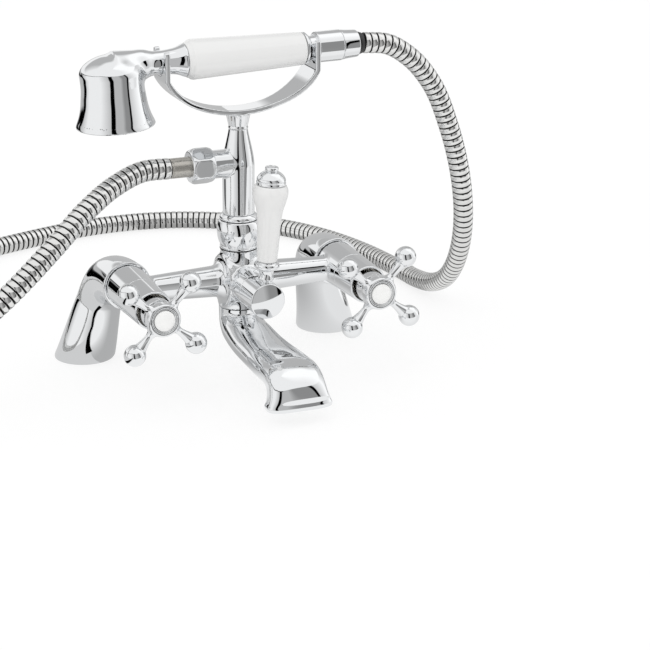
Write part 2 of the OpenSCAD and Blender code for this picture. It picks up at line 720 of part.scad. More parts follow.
// Rings of the spout: how far forward and down, pitch of the ring's plane, half width, depth to the front
// or top, depth to the back or underside, squareness
function spout_stations() = let (r = body_foot_d / 2 + 0.2, w = lip_w / 2, f = lip_front, b = lip_back)
    [[0, 0, 0, r, r, r, 2], [0.002, 0.11, 4, r, r - 0.2, r - 0.2, 2],
     [0.023, 0.25, 20, r + 0.7, r, r - 1.2, 2.1], [0.08, 0.385, 44, r + 1.6, r - 1, r - 2.8, 2.2],
     [0.18, 0.455, 62, r + 2.6, r - 2.7, r - 4.8, 2.4], [0.32, 0.51, 76, r + 3.5, r - 3.8, r - 6.4, 2.5],
     [0.47, 0.53, 84, r + 4.2, r - 4.1, r - 7.5, 2.6], [0.62, 0.53, 84, r + 5.2, r - 3.9, r - 8.1, 2.6],
     [0.74, 0.525, 76, r + 5.6, r - 3.9, r - 7.7, 2.7], [0.84, 0.52, 58, r + 5.5, r - 3.5, r - 6.2, 2.8],
     [0.905, 0.56, 34, r + 5.3, r - 3.2, r - 5.3, 2.9], [0.95, 0.65, 14, r + 5.4, r - 3, r - 4.4, 3],
     [0.985, 0.815, 5, w - 2.2, f + 1.3, b - 1.7, 3], [1, 0.93, 1, w, f + 0.4, b, 3],
     [1, 1, 0, w - 0.4, f - 0.4, b - 0.4, 3]];

module spout_skin() {
    sides = 36;
    loft([for (s = spout_stations()) [for (i = [0:sides - 1])
        let (a = -360 * i / sides, u = s[3] * squircle(cos(a), 2 / s[6]), w = squircle(sin(a), 2 / s[6]),
            v = w > 0 ? s[5] * w : s[4] * w)
        [u, mix(-bridge_reach, mouth_y, s[0]) + v * cos(s[2]),
            mix(spout_top_z, spout_lip_z, s[1]) - v * sin(s[2])]]]);
}

module spout() {
    color("silver") difference() {
        spout_skin();
        riser_axis(spout_top_z - 9) cylinder(r = spout_nipple_r() + seat_gap, h = 20, $fn = turn_fn);
        spout_ways();
        nozzle_axis(spout_lip_z - 1) spout_mouth();
    }
}

// The middle of the mouth lies behind its widest part
module nozzle_axis(z) {
    translate([0, mouth_y + (lip_back - lip_front) / 2, z]) children();
}

// The recess in the nozzle's mouth, above it the seat of the flow straightener
module spout_mouth() {
    corner = 6.5;
    w = lip_w - 2 * lip_wall;
    l = lip_back + lip_front - 2 * lip_wall;
    linear_extrude(3.4) {
        square([w - 2 * corner, l], center = true);
        square([w, l - 2 * corner], center = true);
        for (i = [-1, 1]) for (j = [-1, 1])
            translate([i * (w / 2 - corner), j * (l / 2 - corner)]) circle(r = corner, $fn = 48);
    }
    cylinder(r = straightener_d / 2 + seat_gap, h = 10, $fn = turn_fn);
    cylinder(r = straightener_d / 2 - 1.5, h = 13, $fn = turn_fn);
    cylinder(r = spout_way_r + 0.6, h = mix(spout_top_z, spout_lip_z, 0.5) - spout_lip_z + 1, $fn = 64);
}

spout_way_r = 4.8;

module spout_ways() {
    elbow = [0, -bridge_reach, mix(spout_top_z, spout_lip_z, 0.3)];
    outlet = [0, mouth_y + (lip_back - lip_front) / 2, mix(spout_top_z, spout_lip_z, 0.52)];
    d = outlet - elbow;
    riser_axis(elbow[2] - 2.5) cylinder(r = spout_way_r + 0.6, h = 20, $fn = 64);
    translate(elbow) rotate([acos(d[2] / norm(d)), 0, 0]) translate([0, 0, -2])
        cylinder(r = spout_way_r, h = norm(d) + 4, $fn = 64);
}

module spout_nipple() {
    color("goldenrod") riser_axis(spout_top_z - 9 + face_gap) ring(spout_nipple_r(), spout_way_r + 0.6, 17.8);
}

module spout_o_ring() {
    color("black") riser_axis(spout_top_z) ring(body_foot_d / 2 - 1.2, spout_nipple_r() + seat_gap, seat_gap);
}

module flow_straightener() {
    r = straightener_d / 2;
    color("lightgray") nozzle_axis(spout_lip_z + 2.5) {
        ring(r, r - 1.4, 6.4);
        for (k = [0:5]) rotate([0, 0, 30 * k]) translate([-r + 0.7, -0.4, 0]) cube([2 * r - 1.4, 0.8, 6.4]);
    }
}

// ---- riser ----

module union_nut() {
    r = union_nut_d / 2;
    color("silver") riser_axis(neck_z) difference() {
        turned([[0, 0], [r - 2.6, 0], [r - 1.9, 0.5], [r - 1.9, 1.8], [r - 2.3, 2.3], [r - 1.2, 4.6],
            [r - 0.4, 7.6], [r, 11], [r, 14.5], [r - 0.5, 17.4], [r - 1.1, 18.9], [r - 1.9, union_nut_h],
            [0, union_nut_h]]);
        translate([0, 0, -1]) cylinder(r = union_thread_r() + seat_gap, h = 14, $fn = turn_fn);
        translate([0, 0, -1]) cylinder(r = riser_spigot_r + seat_gap, h = 40, $fn = turn_fn);
    }
}

riser_spigot_r = 8.6;
riser_flange_z = neck_z + 7.5 + 2;

module union_washer() {
    color("black") riser_axis(neck_z + 7.5) ring(union_thread_r() - 0.4, way_d / 2 + 1, 2);
}

module union_ring() {
    r = union_ring_d / 2;
    color("silver") riser_axis(ring_z) difference() {
        turned([[0, 0], [r - 0.7, 0], [r - 0.1, 0.7], [r, 1.6], [r - 0.3, 2.6], [r - 1, 3.5],
            [r - 1.7, union_ring_h], [0, union_ring_h]]);
        translate([0, 0, -1]) cylinder(r = riser_spigot_r + seat_gap, h = 20, $fn = turn_fn);
    }
}

module riser() {
    r = riser_d / 2;
    top_r = riser_top_d / 2;
    flange_h = nut_top_z - riser_flange_z - 6.3;
    color("silver") riser_axis(0) difference() {
        union() {
            turned(concat([[0, riser_flange_z], [union_thread_r(), riser_flange_z],
                [union_thread_r(), riser_flange_z + 2.6], [riser_spigot_r, riser_flange_z + 2.6],
                [riser_spigot_r, shoulder_z], [r, shoulder_z], [r, outlet_z - 1]],
                [for (k = [1:7]) let (t = k / 7) [mix(r, top_r, 0.62 * t + 0.38 * ease(t)),
                    mix(outlet_z - 1, riser_top_z, pow(t, 0.86))]],
                [[0, riser_top_z]]));
            translate([0, 0, outlet_z]) along_x(-outlet_len) cylinder(r = outlet_d / 2, h = outlet_len, $fn = turn_fn);
            translate([0, 0, outlet_z]) along_x(-outlet_len - 10.6)
                cylinder(r = hose_thread_r, h = 12, $fn = turn_fn);
        }
        translate([0, 0, riser_flange_z - 1])
            cylinder(r = way_d / 2 + 1, h = outlet_z - riser_flange_z + 1, $fn = turn_fn);
        translate([0, 0, outlet_z]) sphere(r = way_d / 2 + 1, $fn = 64);
        translate([0, 0, outlet_z]) along_x(-40) cylinder(r = way_d / 2, h = 40, $fn = 64);
        translate([0, 0, riser_top_z - 9]) cylinder(r = stud_r + seat_gap, h = 20, $fn = 48);
    }
}

hose_thread_r = 8.4;
stud_r = 3;

// ---- cradle ----

module cradle() {
    color("silver") riser_axis(handset_z) difference() {
        union() {
            intersection() {
                rotate([90, 0, 0]) linear_extrude(60, center = true) strap_side();
                translate([0, 0, -80]) linear_extrude(120) strap_plan();
            }
            translate([0, 0, riser_top_z - handset_z]) turned([[0, 0], [riser_top_d / 2 + 0.3, 0],
                [riser_top_d / 2 + 0.3, 1.2], [riser_top_d / 2, 1.7], [cone_d / 2 - 0.4, cone_h * 0.86],
                [cone_d / 2, cone_h + 0.9], [0, cone_h + 0.9]]);
        }
        for (side = [-1, 1]) translate([0, 0, side * fork_reach * tan(handset_tilt)]) fork_notch(side);
        translate([0, 0, riser_top_z - handset_z - 1]) cylinder(r = stud_r + seat_gap, h = 8, $fn = 48);
    }
}

// Side view of the strap and its two upright forks
module strap_side() {
    a = fork_reach + strap_t / 2;
    b = cradle_drop;
    w = a + 3;
    last = acos(a / w);
    outer = [for (k = [0:24]) let (t = mix(-last, -180 + last, k / 24)) [w * cos(t), b * sin(t)]];
    inner = [for (k = [0:24]) let (t = mix(-180 + last + 6, -last - 6, k / 24))
        [(w - strap_t) * cos(t), (b - strap_t) * sin(t)]];
    polygon(concat([[a, prong_top]], outer, [[-a, prong_top], [-a + strap_t, prong_top]],
        [[-a + strap_t, inner[0][1]]], inner, [[a - strap_t, inner[24][1]], [a - strap_t, prong_top]]));
}

prong_top = 7.4;

// Plan of the strap: slim in the middle, full width at the forks
module strap_plan() {
    a = fork_reach + strap_t / 2 + 1;
    half = [for (k = [0:16]) let (x = mix(-a, a, k / 16))
        [x, mix(strap_w, fork_w, ease((abs(x) - 0.35 * a) / (0.6 * a))) / 2]];
    polygon(concat(half, [for (k = [16:-1:0]) [half[k][0], -half[k][1]]]));
}

// The gap between two prongs, with a round bed under the handset's neck and rounded prong tips
module fork_notch(side) {
    bed_r = neck_d / 2 + free_gap;
    prong = fork_w / 2 - bed_r;
    translate([side * (fork_reach - strap_t / 2) - 5, 0, 0]) rotate([0, 90, 0]) {
        cylinder(r = bed_r, h = strap_t + 10, $fn = turn_fn);
        translate([-20, -bed_r, 0]) cube([20, 2 * bed_r, strap_t + 10]);
        for (s = [-1, 1]) translate([-prong_top - 1 + prong / 2, s * (bed_r + prong / 2), 0]) difference() {
            translate([-8 - prong / 2, -prong, 0]) cube([8 + prong / 2, 2 * prong, strap_t + 10]);
            cylinder(r = prong / 2, h = 40, $fn = 48);
        }
    }
}

module cradle_stud() {
    color("gray") riser_axis(riser_top_z - 8.5) cylinder(r = stud_r, h = 15, $fn = 48);
}

// ---- hose fittings on the riser ----

module hose_nut() {
    r = hose_nut_af / 2;
    corner = r / cos(30);
    x0 = -outlet_len - hose_nut_len;
    color("silver") riser_axis(outlet_z) along_x(x0) difference() {
        intersection() {
            cylinder(r = corner, h = hose_nut_len - face_gap, $fn = 6);
            turned([[0, 0], [r - 1, 0], [corner - 0.4, 3], [corner - 0.3, hose_nut_len - 3],
                [r - 0.6, hose_nut_len - face_gap], [0, hose_nut_len - face_gap]]);
        }
        translate([0, 0, 3.2]) cylinder(r = hose_thread_r + seat_gap, h = 20, $fn = turn_fn);
        translate([0, 0, -1]) cylinder(r = ferrule_d / 2 + seat_gap, h = 20, $fn = turn_fn);
    }
}

// From the nut's outer face inward: nipple flange, washer, thread end
hose_seat_x = -outlet_len - 10.6;

module hose_washer() {
    color("black") riser_axis(outlet_z) along_x(hose_seat_x - 0.2) ring(hose_thread_r - 0.4, way_d / 2, 0.2);
}

module hose_nipple() {
    color("goldenrod") riser_axis(outlet_z) along_x(hose_seat_x - 0.4) {
        ring(hose_thread_r - 0.2, 4.2, 0.2);
        translate([0, 0, -ferrule_len]) ring(ferrule_d / 2 - 0.8 - seat_gap, 4.2, ferrule_len + 0.1);
    }
}

ferrule_len = 18.2;

module hose_ferrule() {
    color("darkgray") riser_axis(outlet_z) along_x(hose_seat_x - 0.4 - ferrule_len)
        turned([[ferrule_d / 2 - 0.8, 0], [ferrule_d / 2 - 0.3, 0], [ferrule_d / 2, 0.3],
            [ferrule_d / 2, ferrule_len - 0.1], [ferrule_d / 2 - 0.8, ferrule_len - 0.1]]);
}

module shower_hose() {
    sides = 12;
    r = hose_d / 2;
    route = concat(hose_route, [hose_tip]);
    n = len(route);
    color("gray") loft([for (k = [0:n - 1])
        let (p = route[k],
            d = k == 0 || k == n - 1 ? [-1, 0, 0] : unit(route[k + 1] - route[k - 1]),
            u = unit(cross([0, 0, 1], d)), v = cross(d, u))
        [for (i = [0:sides - 1]) let (a = 360 * i / sides) p + r * (u * cos(a) + v * sin(a))]]);
}

// ---- handset ----

arm_r = neck_d / 2;
arm_bore_r = 5;

module rose_shape(inset) {
    rim_r = rose_d / 2 - inset;
    sh_r = rose_shoulder_d / 2 - inset;
    h = rose_h - inset;
    turned([[0, inset > 0 ? -1 : 0], [rim_r - 0.4, inset > 0 ? -1 : 0], [rim_r, 0.5], [rim_r - 0.5, 2],
        [mix(sh_r, rim_r, 0.62), h * 0.115], [mix(sh_r, rim_r, 0.27), h * 0.25],
        [mix(sh_r, rim_r, 0.06), h * 0.41], [sh_r - 0.3, h * 0.56], [sh_r - 0.1, h * 0.69],
        [sh_r, h * 0.767], [sh_r - 0.5, h * 0.798], [sh_r * 0.9, h * 0.848], [sh_r * 0.75, h * 0.904],
        [sh_r * 0.55, h * 0.952], [sh_r * 0.3, h * 0.987], [0, h]]);
}

module rose_axis() {
    translate([-rose_reach, 0, 8 - rose_h]) rotate([0, -rose_tilt, 0]) children();
}

module handset_head() {
    wall = 2;
    color("silver") handset_axis() difference() {
        union() {
            rose_axis() rose_shape(0);
            along_x(-rose_reach) turned([[0, 0], [arm_r + 2.2, 0], [arm_r + 1.6, rose_shoulder_d / 2],
                [arm_r + 0.4, rose_shoulder_d / 2 + 4], [arm_r, rose_shoulder_d / 2 + 8], [arm_r, 34.5],
                [arm_r + 0.3, rose_reach + grip_head_x - 10.5], [arm_r + 1, rose_reach + grip_head_x - 6],
                [arm_r + 2.2, rose_reach + grip_head_x - 2.6], [arm_r + 3, rose_reach + grip_head_x - 1.2],
                [arm_r + 3, rose_reach + grip_head_x], [0, rose_reach + grip_head_x]]);
        }
        rose_axis() intersection() {
            rose_shape(wall);
            translate([0, 0, -2]) cylinder(r = rose_d, h = rose_h - 14);
        }
        rose_axis() translate([0, 0, -1]) cylinder(r = plate_r + seat_gap, h = 1 + plate_seat, $fn = turn_fn);
        along_x(-rose_reach) cylinder(r = arm_bore_r, h = rose_reach + grip_head_x + 1, $fn = 64);
        along_x(grip_head_x - 12) cylinder(r = tube_r + seat_gap, h = 20, $fn = 64);
    }
}

plate_r = rose_d / 2 - 2.2;
plate_seat = 3.4;
tube_r = 6;

module spray_plate() {
    t = 2;
    color("silver") handset_axis() rose_axis() translate([0, 0, plate_seat - t]) difference() {
        turned([[0, -0.9], [plate_r * 0.6, -0.6], [plate_r, 0.3], [plate_r, t], [0, t]]);
        for (k = [1:spray_rings]) for (i = [0:6 * k - 1]) rotate([0, 0, 60 * i / k])
            translate([plate_r * (0.12 + 0.76 * k / spray_rings), 0, -2]) cylinder(r = 0.7, h = 6, $fn = 24);
        translate([0, 0, -2]) cylinder(r = 1.6, h = 6, $fn = 32);
    }
}

module spray_screw() {
    color("gray") handset_axis() rose_axis() translate([0, 0, plate_seat - 4.2])
        turned([[0, 0], [2.2, 0.2], [2.8, 1.2], [1.5, 1.25], [1.5, 8], [0, 8]]);
}

module handset_grip() {
    r0 = grip_d / 2;
    r1 = grip_tail_d / 2;
    color("white") handset_axis() along_x(grip_head_x + seat_gap) difference() {
        turned([[0, 0], [arm_r + 3.1, 0], [r0 - 1.1, 2.3], [r0 - 0.3, 3.3], [r0, 4.6],
            [mix(r0, r1, 0.5), grip_len * 0.5], [r1 + 0.1, grip_len - 2.4], [r1 - 0.1, grip_len - 1.2],
            [r1 - 0.7, grip_len - 0.3], [0, grip_len - 0.3]]);
        translate([0, 0, -1]) cylinder(r = tube_r + 1 + seat_gap, h = grip_len + 2, $fn = 64);
    }
}

module grip_washers() {
    color("lightgray") handset_axis() for (x = [grip_head_x + 8, grip_tail_x - 14])
        along_x(x) ring(tube_r + 1, tube_r + seat_gap, 5);
}

module handset_tube() {
    color("goldenrod") handset_axis() along_x(grip_head_x - 11.8)
        ring(tube_r, tube_r - 1.2, grip_len + 11.8 + 8);
}

module handset_tail() {
    r = tail_d / 2;
    r1 = grip_tail_d / 2;
    color("silver") handset_axis() along_x(grip_tail_x) difference() {
        turned([[0, 0], [r1 - 0.2, 0], [r1, 0.5], [r1 - 0.1, 1.4], [r1 - 0.9, 2], [arm_r + 0.9, 3],
            [arm_r, 4], [arm_r, tail_x - grip_tail_x + 0.4], [r - 2.4, tail_x - grip_tail_x + 0.4],
            [r - 0.4, tail_x - grip_tail_x + 0.4], [r, tail_x - grip_tail_x + 0.9],
            [r, tail_x - grip_tail_x + tail_len - 0.4], [r - 0.4, tail_x - grip_tail_x + tail_len],
            [hose_thread_r, tail_x - grip_tail_x + tail_len],
            [hose_thread_r, tail_x - grip_tail_x + tail_len + 8],
            [0, tail_x - grip_tail_x + tail_len + 8]]);
        translate([0, 0, -1]) cylinder(r = tube_r + seat_gap, h = 9.1, $fn = 64);
        translate([0, 0, -1]) cylinder(r = arm_bore_r, h = 80, $fn = 64);
    }
}

module tail_washer() {
    color("black") handset_axis() along_x(cone_nut_x + 8 - seat_gap) ring(hose_thread_r - 0.3, arm_bore_r, 0.8);
}

module cone_nut() {
    r0 = tail_d / 2 - 0.3;
    color("silver") handset_axis() along_x(cone_nut_x) difference() {
        turned([[0, 0], [r0 - 0.3, 0], [r0, 0.4], [r0 - 0.5, 4], [hose_d / 2 + 1.9, cone_nut_len - 0.6],
            [hose_d / 2 + 1.3, cone_nut_len], [0, cone_nut_len]]);
        translate([0, 0, -1]) cylinder(r = hose_thread_r + seat_gap, h = 10.8, $fn = turn_fn);
        translate([0, 0, -1]) cylinder(r = 6.2, h = 30, $fn = turn_fn);
    }
}

// The hose's own end: a flanged nipple in the nut and a black collar behind it
module hose_end() {
    color("dimgray") handset_axis() along_x(hose_end_x - 3.1)
        turned([[4, 0], [6, 0], [6, 3.1], [hose_d / 2 + 0.6, 3.1], [hose_d / 2 + 0.4, 4.4],
            [hose_d / 2 - 0.6, 7.1 - face_gap], [4, 7.1 - face_gap]]);
}

// ---- assembly ----

hot_leg();
cold_leg();
foot_gaskets();
leg_unions();
leg_seal_rings();
mixer_body();
hot_shroud();
cold_shroud();
hot_cartridge();
cold_cartridge();
fixed_discs();
cartridge_seals();
diverter_cartridge();
diverter_fixed_disc();
diverter_seal();
spout();
spout_nipple();
spout_o_ring();
flow_straightener();
union_nut();
union_washer();
union_ring();
riser();
cradle();
cradle_stud();
hose_nut();
hose_washer();
hose_nipple();
hose_ferrule();
shower_hose();
hot_cross_handle();
hot_bezel();
hot_index();
hot_handle_screw();
hot_spindle();
hot_moving_disc();
cold_cross_handle();
cold_bezel();
cold_index();
cold_handle_screw();
cold_spindle();
cold_moving_disc();
diverter_cap();
diverter_spindle();
diverter_moving_disc();
lever_stem();
lever_grip();
lever_rod();
lever_finial();
handset_head();
spray_plate();
spray_screw();
handset_grip();
grip_washers();
handset_tube();
handset_tail();
tail_washer();
cone_nut();
hose_end();
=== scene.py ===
import itertools
import math
import types
import bpy
import numpy as np
from mathutils import Matrix, Vector


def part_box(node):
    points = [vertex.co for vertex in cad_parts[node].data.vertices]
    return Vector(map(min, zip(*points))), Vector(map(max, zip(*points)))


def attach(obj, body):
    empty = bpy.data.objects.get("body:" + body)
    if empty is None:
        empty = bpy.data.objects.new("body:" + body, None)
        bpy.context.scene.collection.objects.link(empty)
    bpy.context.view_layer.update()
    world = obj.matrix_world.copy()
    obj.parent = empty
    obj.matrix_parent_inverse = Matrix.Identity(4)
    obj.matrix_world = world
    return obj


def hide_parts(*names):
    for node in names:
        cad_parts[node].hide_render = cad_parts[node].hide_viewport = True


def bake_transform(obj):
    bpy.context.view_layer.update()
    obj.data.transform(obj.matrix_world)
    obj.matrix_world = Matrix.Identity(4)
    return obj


bl_info = {
    "name": "Bath Shower Mixer",
    "version": (1, 0, 0),
    "blender": (4, 5, 0),
    "location": "3D View > Sidebar > Mixer",
    "description": "Finishes a bath shower mixer: plated castings, glazed ceramic, ribbed hose and studio",
    "category": "Object",
}

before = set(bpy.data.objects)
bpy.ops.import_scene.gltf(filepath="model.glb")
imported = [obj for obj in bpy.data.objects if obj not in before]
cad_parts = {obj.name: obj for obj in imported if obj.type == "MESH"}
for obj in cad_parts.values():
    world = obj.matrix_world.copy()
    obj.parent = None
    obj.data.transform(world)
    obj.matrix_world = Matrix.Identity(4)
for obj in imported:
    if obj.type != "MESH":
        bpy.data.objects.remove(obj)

MM = 0.001
SEAT_GAP = 0.1
FREE_GAP = 0.3


# ---------------------------------------------------------------- settings

def length(name, description, default):
    """A size in metres"""
    return bpy.props.FloatProperty(name=name, description=description, default=default, unit="LENGTH")


def colour(name, description, default):
    """A colour that the finish is built on"""
    return bpy.props.FloatVectorProperty(name=name, description=description, default=default, size=3,
                                         subtype="COLOR")


class MixerSizes(bpy.types.PropertyGroup):
    """Sizes of the finished mixer"""
    inlet_x: length("Inlet", "Half the distance between the inlets", 0.090)
    valve_x: length("Valve", "Half the distance between the valves", 0.075)
    bridge_y: length("Bridge", "Distance forward to the bridge axis", 0.065)
    leg_base_d: length("Leg foot", "Diameter of a leg on the deck", 0.042)
    leg_waist_d: length("Leg waist", "Diameter of a leg at its slimmest", 0.031)
    leg_head_d: length("Leg head", "Diameter of a leg's head", 0.0324)
    barrel_d: length("Barrel", "Diameter of a valve barrel at the leg", 0.0296)
    shroud_rim_d: length("Shroud", "Diameter of a shroud at its rim", 0.0256)
    hub_d: length("Hub", "Diameter of a cross handle's hub", 0.0222)
    arm_reach: length("Arm", "Distance from a hub's axis to a ball", 0.0292)
    ball_d: length("Ball", "Diameter of the ball on an arm", 0.0142)
    index_d: length("Index", "Diameter of the white index disc", 0.0138)
    bar_end_d: length("Bar end", "Diameter of the bridge bar at a barrel", 0.0168)
    bar_root_d: length("Bar root", "Diameter of the bridge bar at the body", 0.0208)
    body_foot_d: length("Body foot", "Diameter of the body above the spout", 0.027)
    body_neck_d: length("Body neck", "Diameter of the body under the nut", 0.0248)
    diverter_d: length("Diverter", "Diameter of the diverter cap", 0.0236)
    lever_grip_d: length("Lever grip", "Greatest diameter of the lever's grip", 0.0222)
    spout_reach: length("Spout", "Distance from the bridge to the nozzle's widest part", 0.1075)
    lip_w: length("Lip", "Width of the nozzle's lip", 0.0448)
    lip_front: length("Lip front", "Length of the lip in front of its widest part", 0.0083)
    lip_back: length("Lip back", "Length of the lip behind its widest part", 0.0128)
    riser_d: length("Riser", "Diameter of the riser", 0.0212)
    riser_top_d: length("Riser top", "Diameter of the riser at its top", 0.0126)
    outlet_d: length("Outlet", "Diameter of the hose outlet branch", 0.0186)
    strap_t: length("Strap", "Thickness of the cradle's strap", 0.0034)
    strap_w: length("Strap width", "Width of the cradle's strap in the middle", 0.0166)
    fork_w: length("Fork", "Width of a fork over its two prongs", 0.0252)
    neck_d: length("Neck", "Diameter of the handset's neck", 0.0154)
    grip_d: length("Grip", "Diameter of the grip at the rose end", 0.0262)
    grip_tail_d: length("Grip tail", "Diameter of the grip at the hose end", 0.0214)
    tail_d: length("Tail", "Diameter of the tail behind the cradle", 0.0204)
    rose_d: length("Rose", "Diameter of the rose at its rim", 0.0512)
    rose_shoulder_d: length("Rose shoulder", "Diameter of the rose at its shoulder", 0.0412)
    hose_d: length("Hose", "Outer diameter of the ribbed hose", 0.014)
    hose_pitch: length("Rib pitch", "Distance between two ribs of the hose", 0.0047)


class MixerLooks(bpy.types.PropertyGroup):
    """Colours of the finished mixer"""
    chrome: colour("Chrome", "Colour of the chrome plate", (0.83, 0.84, 0.85))
    nickel: colour("Nickel", "Colour of the satin ferrule", (0.56, 0.54, 0.50))
    hose: colour("Hose", "Colour of the hose's steel", (0.80, 0.80, 0.79))
    ceramic: colour("Ceramic", "Colour of the glazed ceramic", (0.78, 0.78, 0.775))
    enamel: colour("Enamel", "Colour of the index discs", (0.88, 0.88, 0.87))
    rubber: colour("Rubber", "Colour of the seals", (0.018, 0.018, 0.019))
    brass: colour("Brass", "Colour of the nickel-plated brass inside", (0.46, 0.44, 0.40))


def sizes():
    """The mixer's sizes, and the stations and heights worked out from them and from the frame, in mm"""
    group = bpy.context.scene.mixer_sizes
    s = types.SimpleNamespace(**{key: getattr(group, key) / MM for key in MixerSizes.__annotations__})
    s.valve_z = sum(corner[2] for corner in box("hot_shroud")) / 2
    s.leg_face = -box("leg_seal_rings")[1][1]
    s.barrel = -box("leg_seal_rings")[0][1]
    s.shroud = -box("hot_shroud")[1][1] - SEAT_GAP
    s.rim = -box("hot_shroud")[0][1]
    s.hub = -box("hot_cross_handle")[1][1]
    s.body_foot_z, s.spout_top_z = box("mixer_body")[0][2], box("spout")[1][2]
    s.neck_z, s.nut_top_z = box("union_nut")[0][2], box("union_nut")[1][2]
    s.ring_z, s.shoulder_z = box("union_ring")[0][2], box("union_ring")[1][2]
    s.riser_top_z = box("riser")[1][2]
    return s


def box(node):
    """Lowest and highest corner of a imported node, in mm"""
    return [np.array(corner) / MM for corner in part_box(node)]


# ---------------------------------------------------------------- shapes

def axes(origin, z, x=(1, 0, 0)):
    """A frame with its third axis along z and its first near x, as a 4x4 array in mm"""
    z = np.array(z, float) / np.linalg.norm(z)
    x = np.array(x, float) - np.dot(x, z) * z
    if np.linalg.norm(x) < 0.1:
        x = np.array((0, 1.0, 0)) - z[1] * z
    x /= np.linalg.norm(x)
    place = np.eye(4)
    place[:3, 0], place[:3, 1], place[:3, 2], place[:3, 3] = x, np.cross(z, x), z, origin
    return place


def moved(place, points):
    """Points of a frame, in the mixer's own"""
    return points @ place[:3, :3].T + place[:3, 3]


def ease(t):
    """A smooth step from 0 to 1"""
    t = np.clip(t, 0, 1)
    return t * t * (3 - 2 * t)


def mix(a, b, t):
    """The value at t between a and b"""
    return a + (b - a) * t


def curve(points, step=0.6):
    """Points about one step apart on a smooth curve through the given ones"""
    p = np.array(points, float)
    h = np.linalg.norm(np.diff(p, axis=0), axis=1)[:, None]
    way = np.diff(p, axis=0) / h
    turn = np.vstack([way[:1], (way[:-1] * h[1:] + way[1:] * h[:-1]) / (h[:-1] + h[1:]), way[-1:]])
    made = []
    for k, reach in enumerate(h[:, 0]):
        count = max(2, math.ceil(reach / step))
        t = np.arange(count)[:, None] / count
        made.append((1 + 2 * t) * (1 - t) ** 2 * p[k] + t * (1 - t) ** 2 * reach * turn[k]
                    + t * t * (3 - 2 * t) * p[k + 1] + t * t * (t - 1) * reach * turn[k + 1])
    return np.vstack(made + [p[-1:]])


def outline(*runs):
    """One list of points from single points and whole curves"""
    return np.vstack([np.array(run, float).reshape(-1, 2) for run in runs])


def soften(points, edge):
    """An outline with each corner sharper than 15 degrees rounded over edge mm"""
    p = np.array(points, float)
    keep = np.linalg.norm(p - np.roll(p, 1, axis=0), axis=1) > 1e-6
    p = p[keep]
    ends_on_axis = p[0][0] == 0 and p[-1][0] == 0
    t = np.linspace(0, 1, 6)[:, None]
    made = []
    for k, here in enumerate(p):
        if ends_on_axis and k in (0, len(p) - 1):
            made.append(here[None])
            continue
        back, on = p[k - 1] - here, p[(k + 1) % len(p)] - here
        long_back, long_on = np.linalg.norm(back), np.linalg.norm(on)
        straight = -np.dot(back, on) / (long_back * long_on)
        if straight > math.cos(math.radians(15)):
            made.append(here[None])
            continue
        start = here + back / long_back * min(edge, 0.45 * long_back)
        end = here + on / long_on * min(edge, 0.45 * long_on)
        made.append((1 - t) ** 2 * start + 2 * t * (1 - t) * here + t * t * end)
    return np.vstack(made)


def grid_faces(rows, sides, first=0):
    """Four-sided faces over rows of points that each close on themselves"""
    i, j = np.meshgrid(np.arange(rows - 1), np.arange(sides), indexing="ij")
    a, b = first + i * sides + j, first + i * sides + (j + 1) % sides
    return np.stack([a, b, b + sides, a + sides], -1).reshape(-1, 4).tolist()


def lathe(place, profile, sides=112, edge=0.35):
    """A turned shape about the place's third axis: the profile holds radius and height"""
    line = soften(profile, edge)
    on_axis = line[0][0] == 0
    r, z = line[:, 0], line[:, 1]
    area = np.sum(r * np.roll(z, -1) - np.roll(r, -1) * z)
    if area < 0:
        line = line[::-1]
    if on_axis:
        tangent = np.gradient(line, axis=0)
        tangent[0], tangent[-1] = (1, 0), (-1, 0)
    else:
        tangent = np.roll(line, -1, axis=0) - np.roll(line, 1, axis=0)
        line, tangent = np.vstack([line, line[:1]]), np.vstack([tangent, tangent[:1]])
    tangent /= np.linalg.norm(tangent, axis=1)[:, None]
    turn = 2 * math.pi * np.arange(sides) / sides
    spin = np.stack([np.cos(turn), np.sin(turn)], 1)
    rings = line[1:-1]
    slopes = tangent[1:-1]
    if not on_axis:
        rings, slopes = line[:-1], tangent[:-1]
    points = np.concatenate([np.stack([r * spin[:, 0], r * spin[:, 1], np.full(sides, z)], 1)
                             for r, z in rings])
    normals = np.concatenate([np.stack([dz * spin[:, 0], dz * spin[:, 1], np.full(sides, -dr)], 1)
                              for dr, dz in slopes])
    faces = grid_faces(len(rings), sides)
    last = (len(rings) - 1) * sides
    if on_axis:
        points = np.vstack([points, [0, 0, line[0][1]], [0, 0, line[-1][1]]])
        normals = np.vstack([normals, [0, 0, -1], [0, 0, 1]])
        low, high = len(points) - 2, len(points) - 1
        faces += [[low, (j + 1) % sides, j] for j in range(sides)]
        faces += [[last + j, last + (j + 1) % sides, high] for j in range(sides)]
    else:
        faces += [[last + j, last + (j + 1) % sides, (j + 1) % sides, j] for j in range(sides)]
    return moved(place, points), faces, normals @ place[:3, :3].T


def loft(rings):
    """A closed shape over rings that all have the same count of points"""
    rings = np.array(rings, float)
    rows, sides = rings.shape[:2]
    points = np.vstack([rings.reshape(-1, 3), rings[0].mean(0), rings[-1].mean(0)])
    faces = grid_faces(rows, sides)
    start, end, last = len(points) - 2, len(points) - 1, (rows - 1) * sides
    faces += [[start, (j + 1) % sides, j] for j in range(sides)]
    faces += [[last + j, last + (j + 1) % sides, end] for j in range(sides)]
    corners = points[[face[:3] for face in faces]]
    volume = np.sum(corners[:, 0] * np.cross(corners[:, 1], corners[:, 2]))
    if volume < 0:
        faces = [face[::-1] for face in faces]
    return points, faces, None


# Fields: each is a function that gives how far outside a shape some points lie, in mm

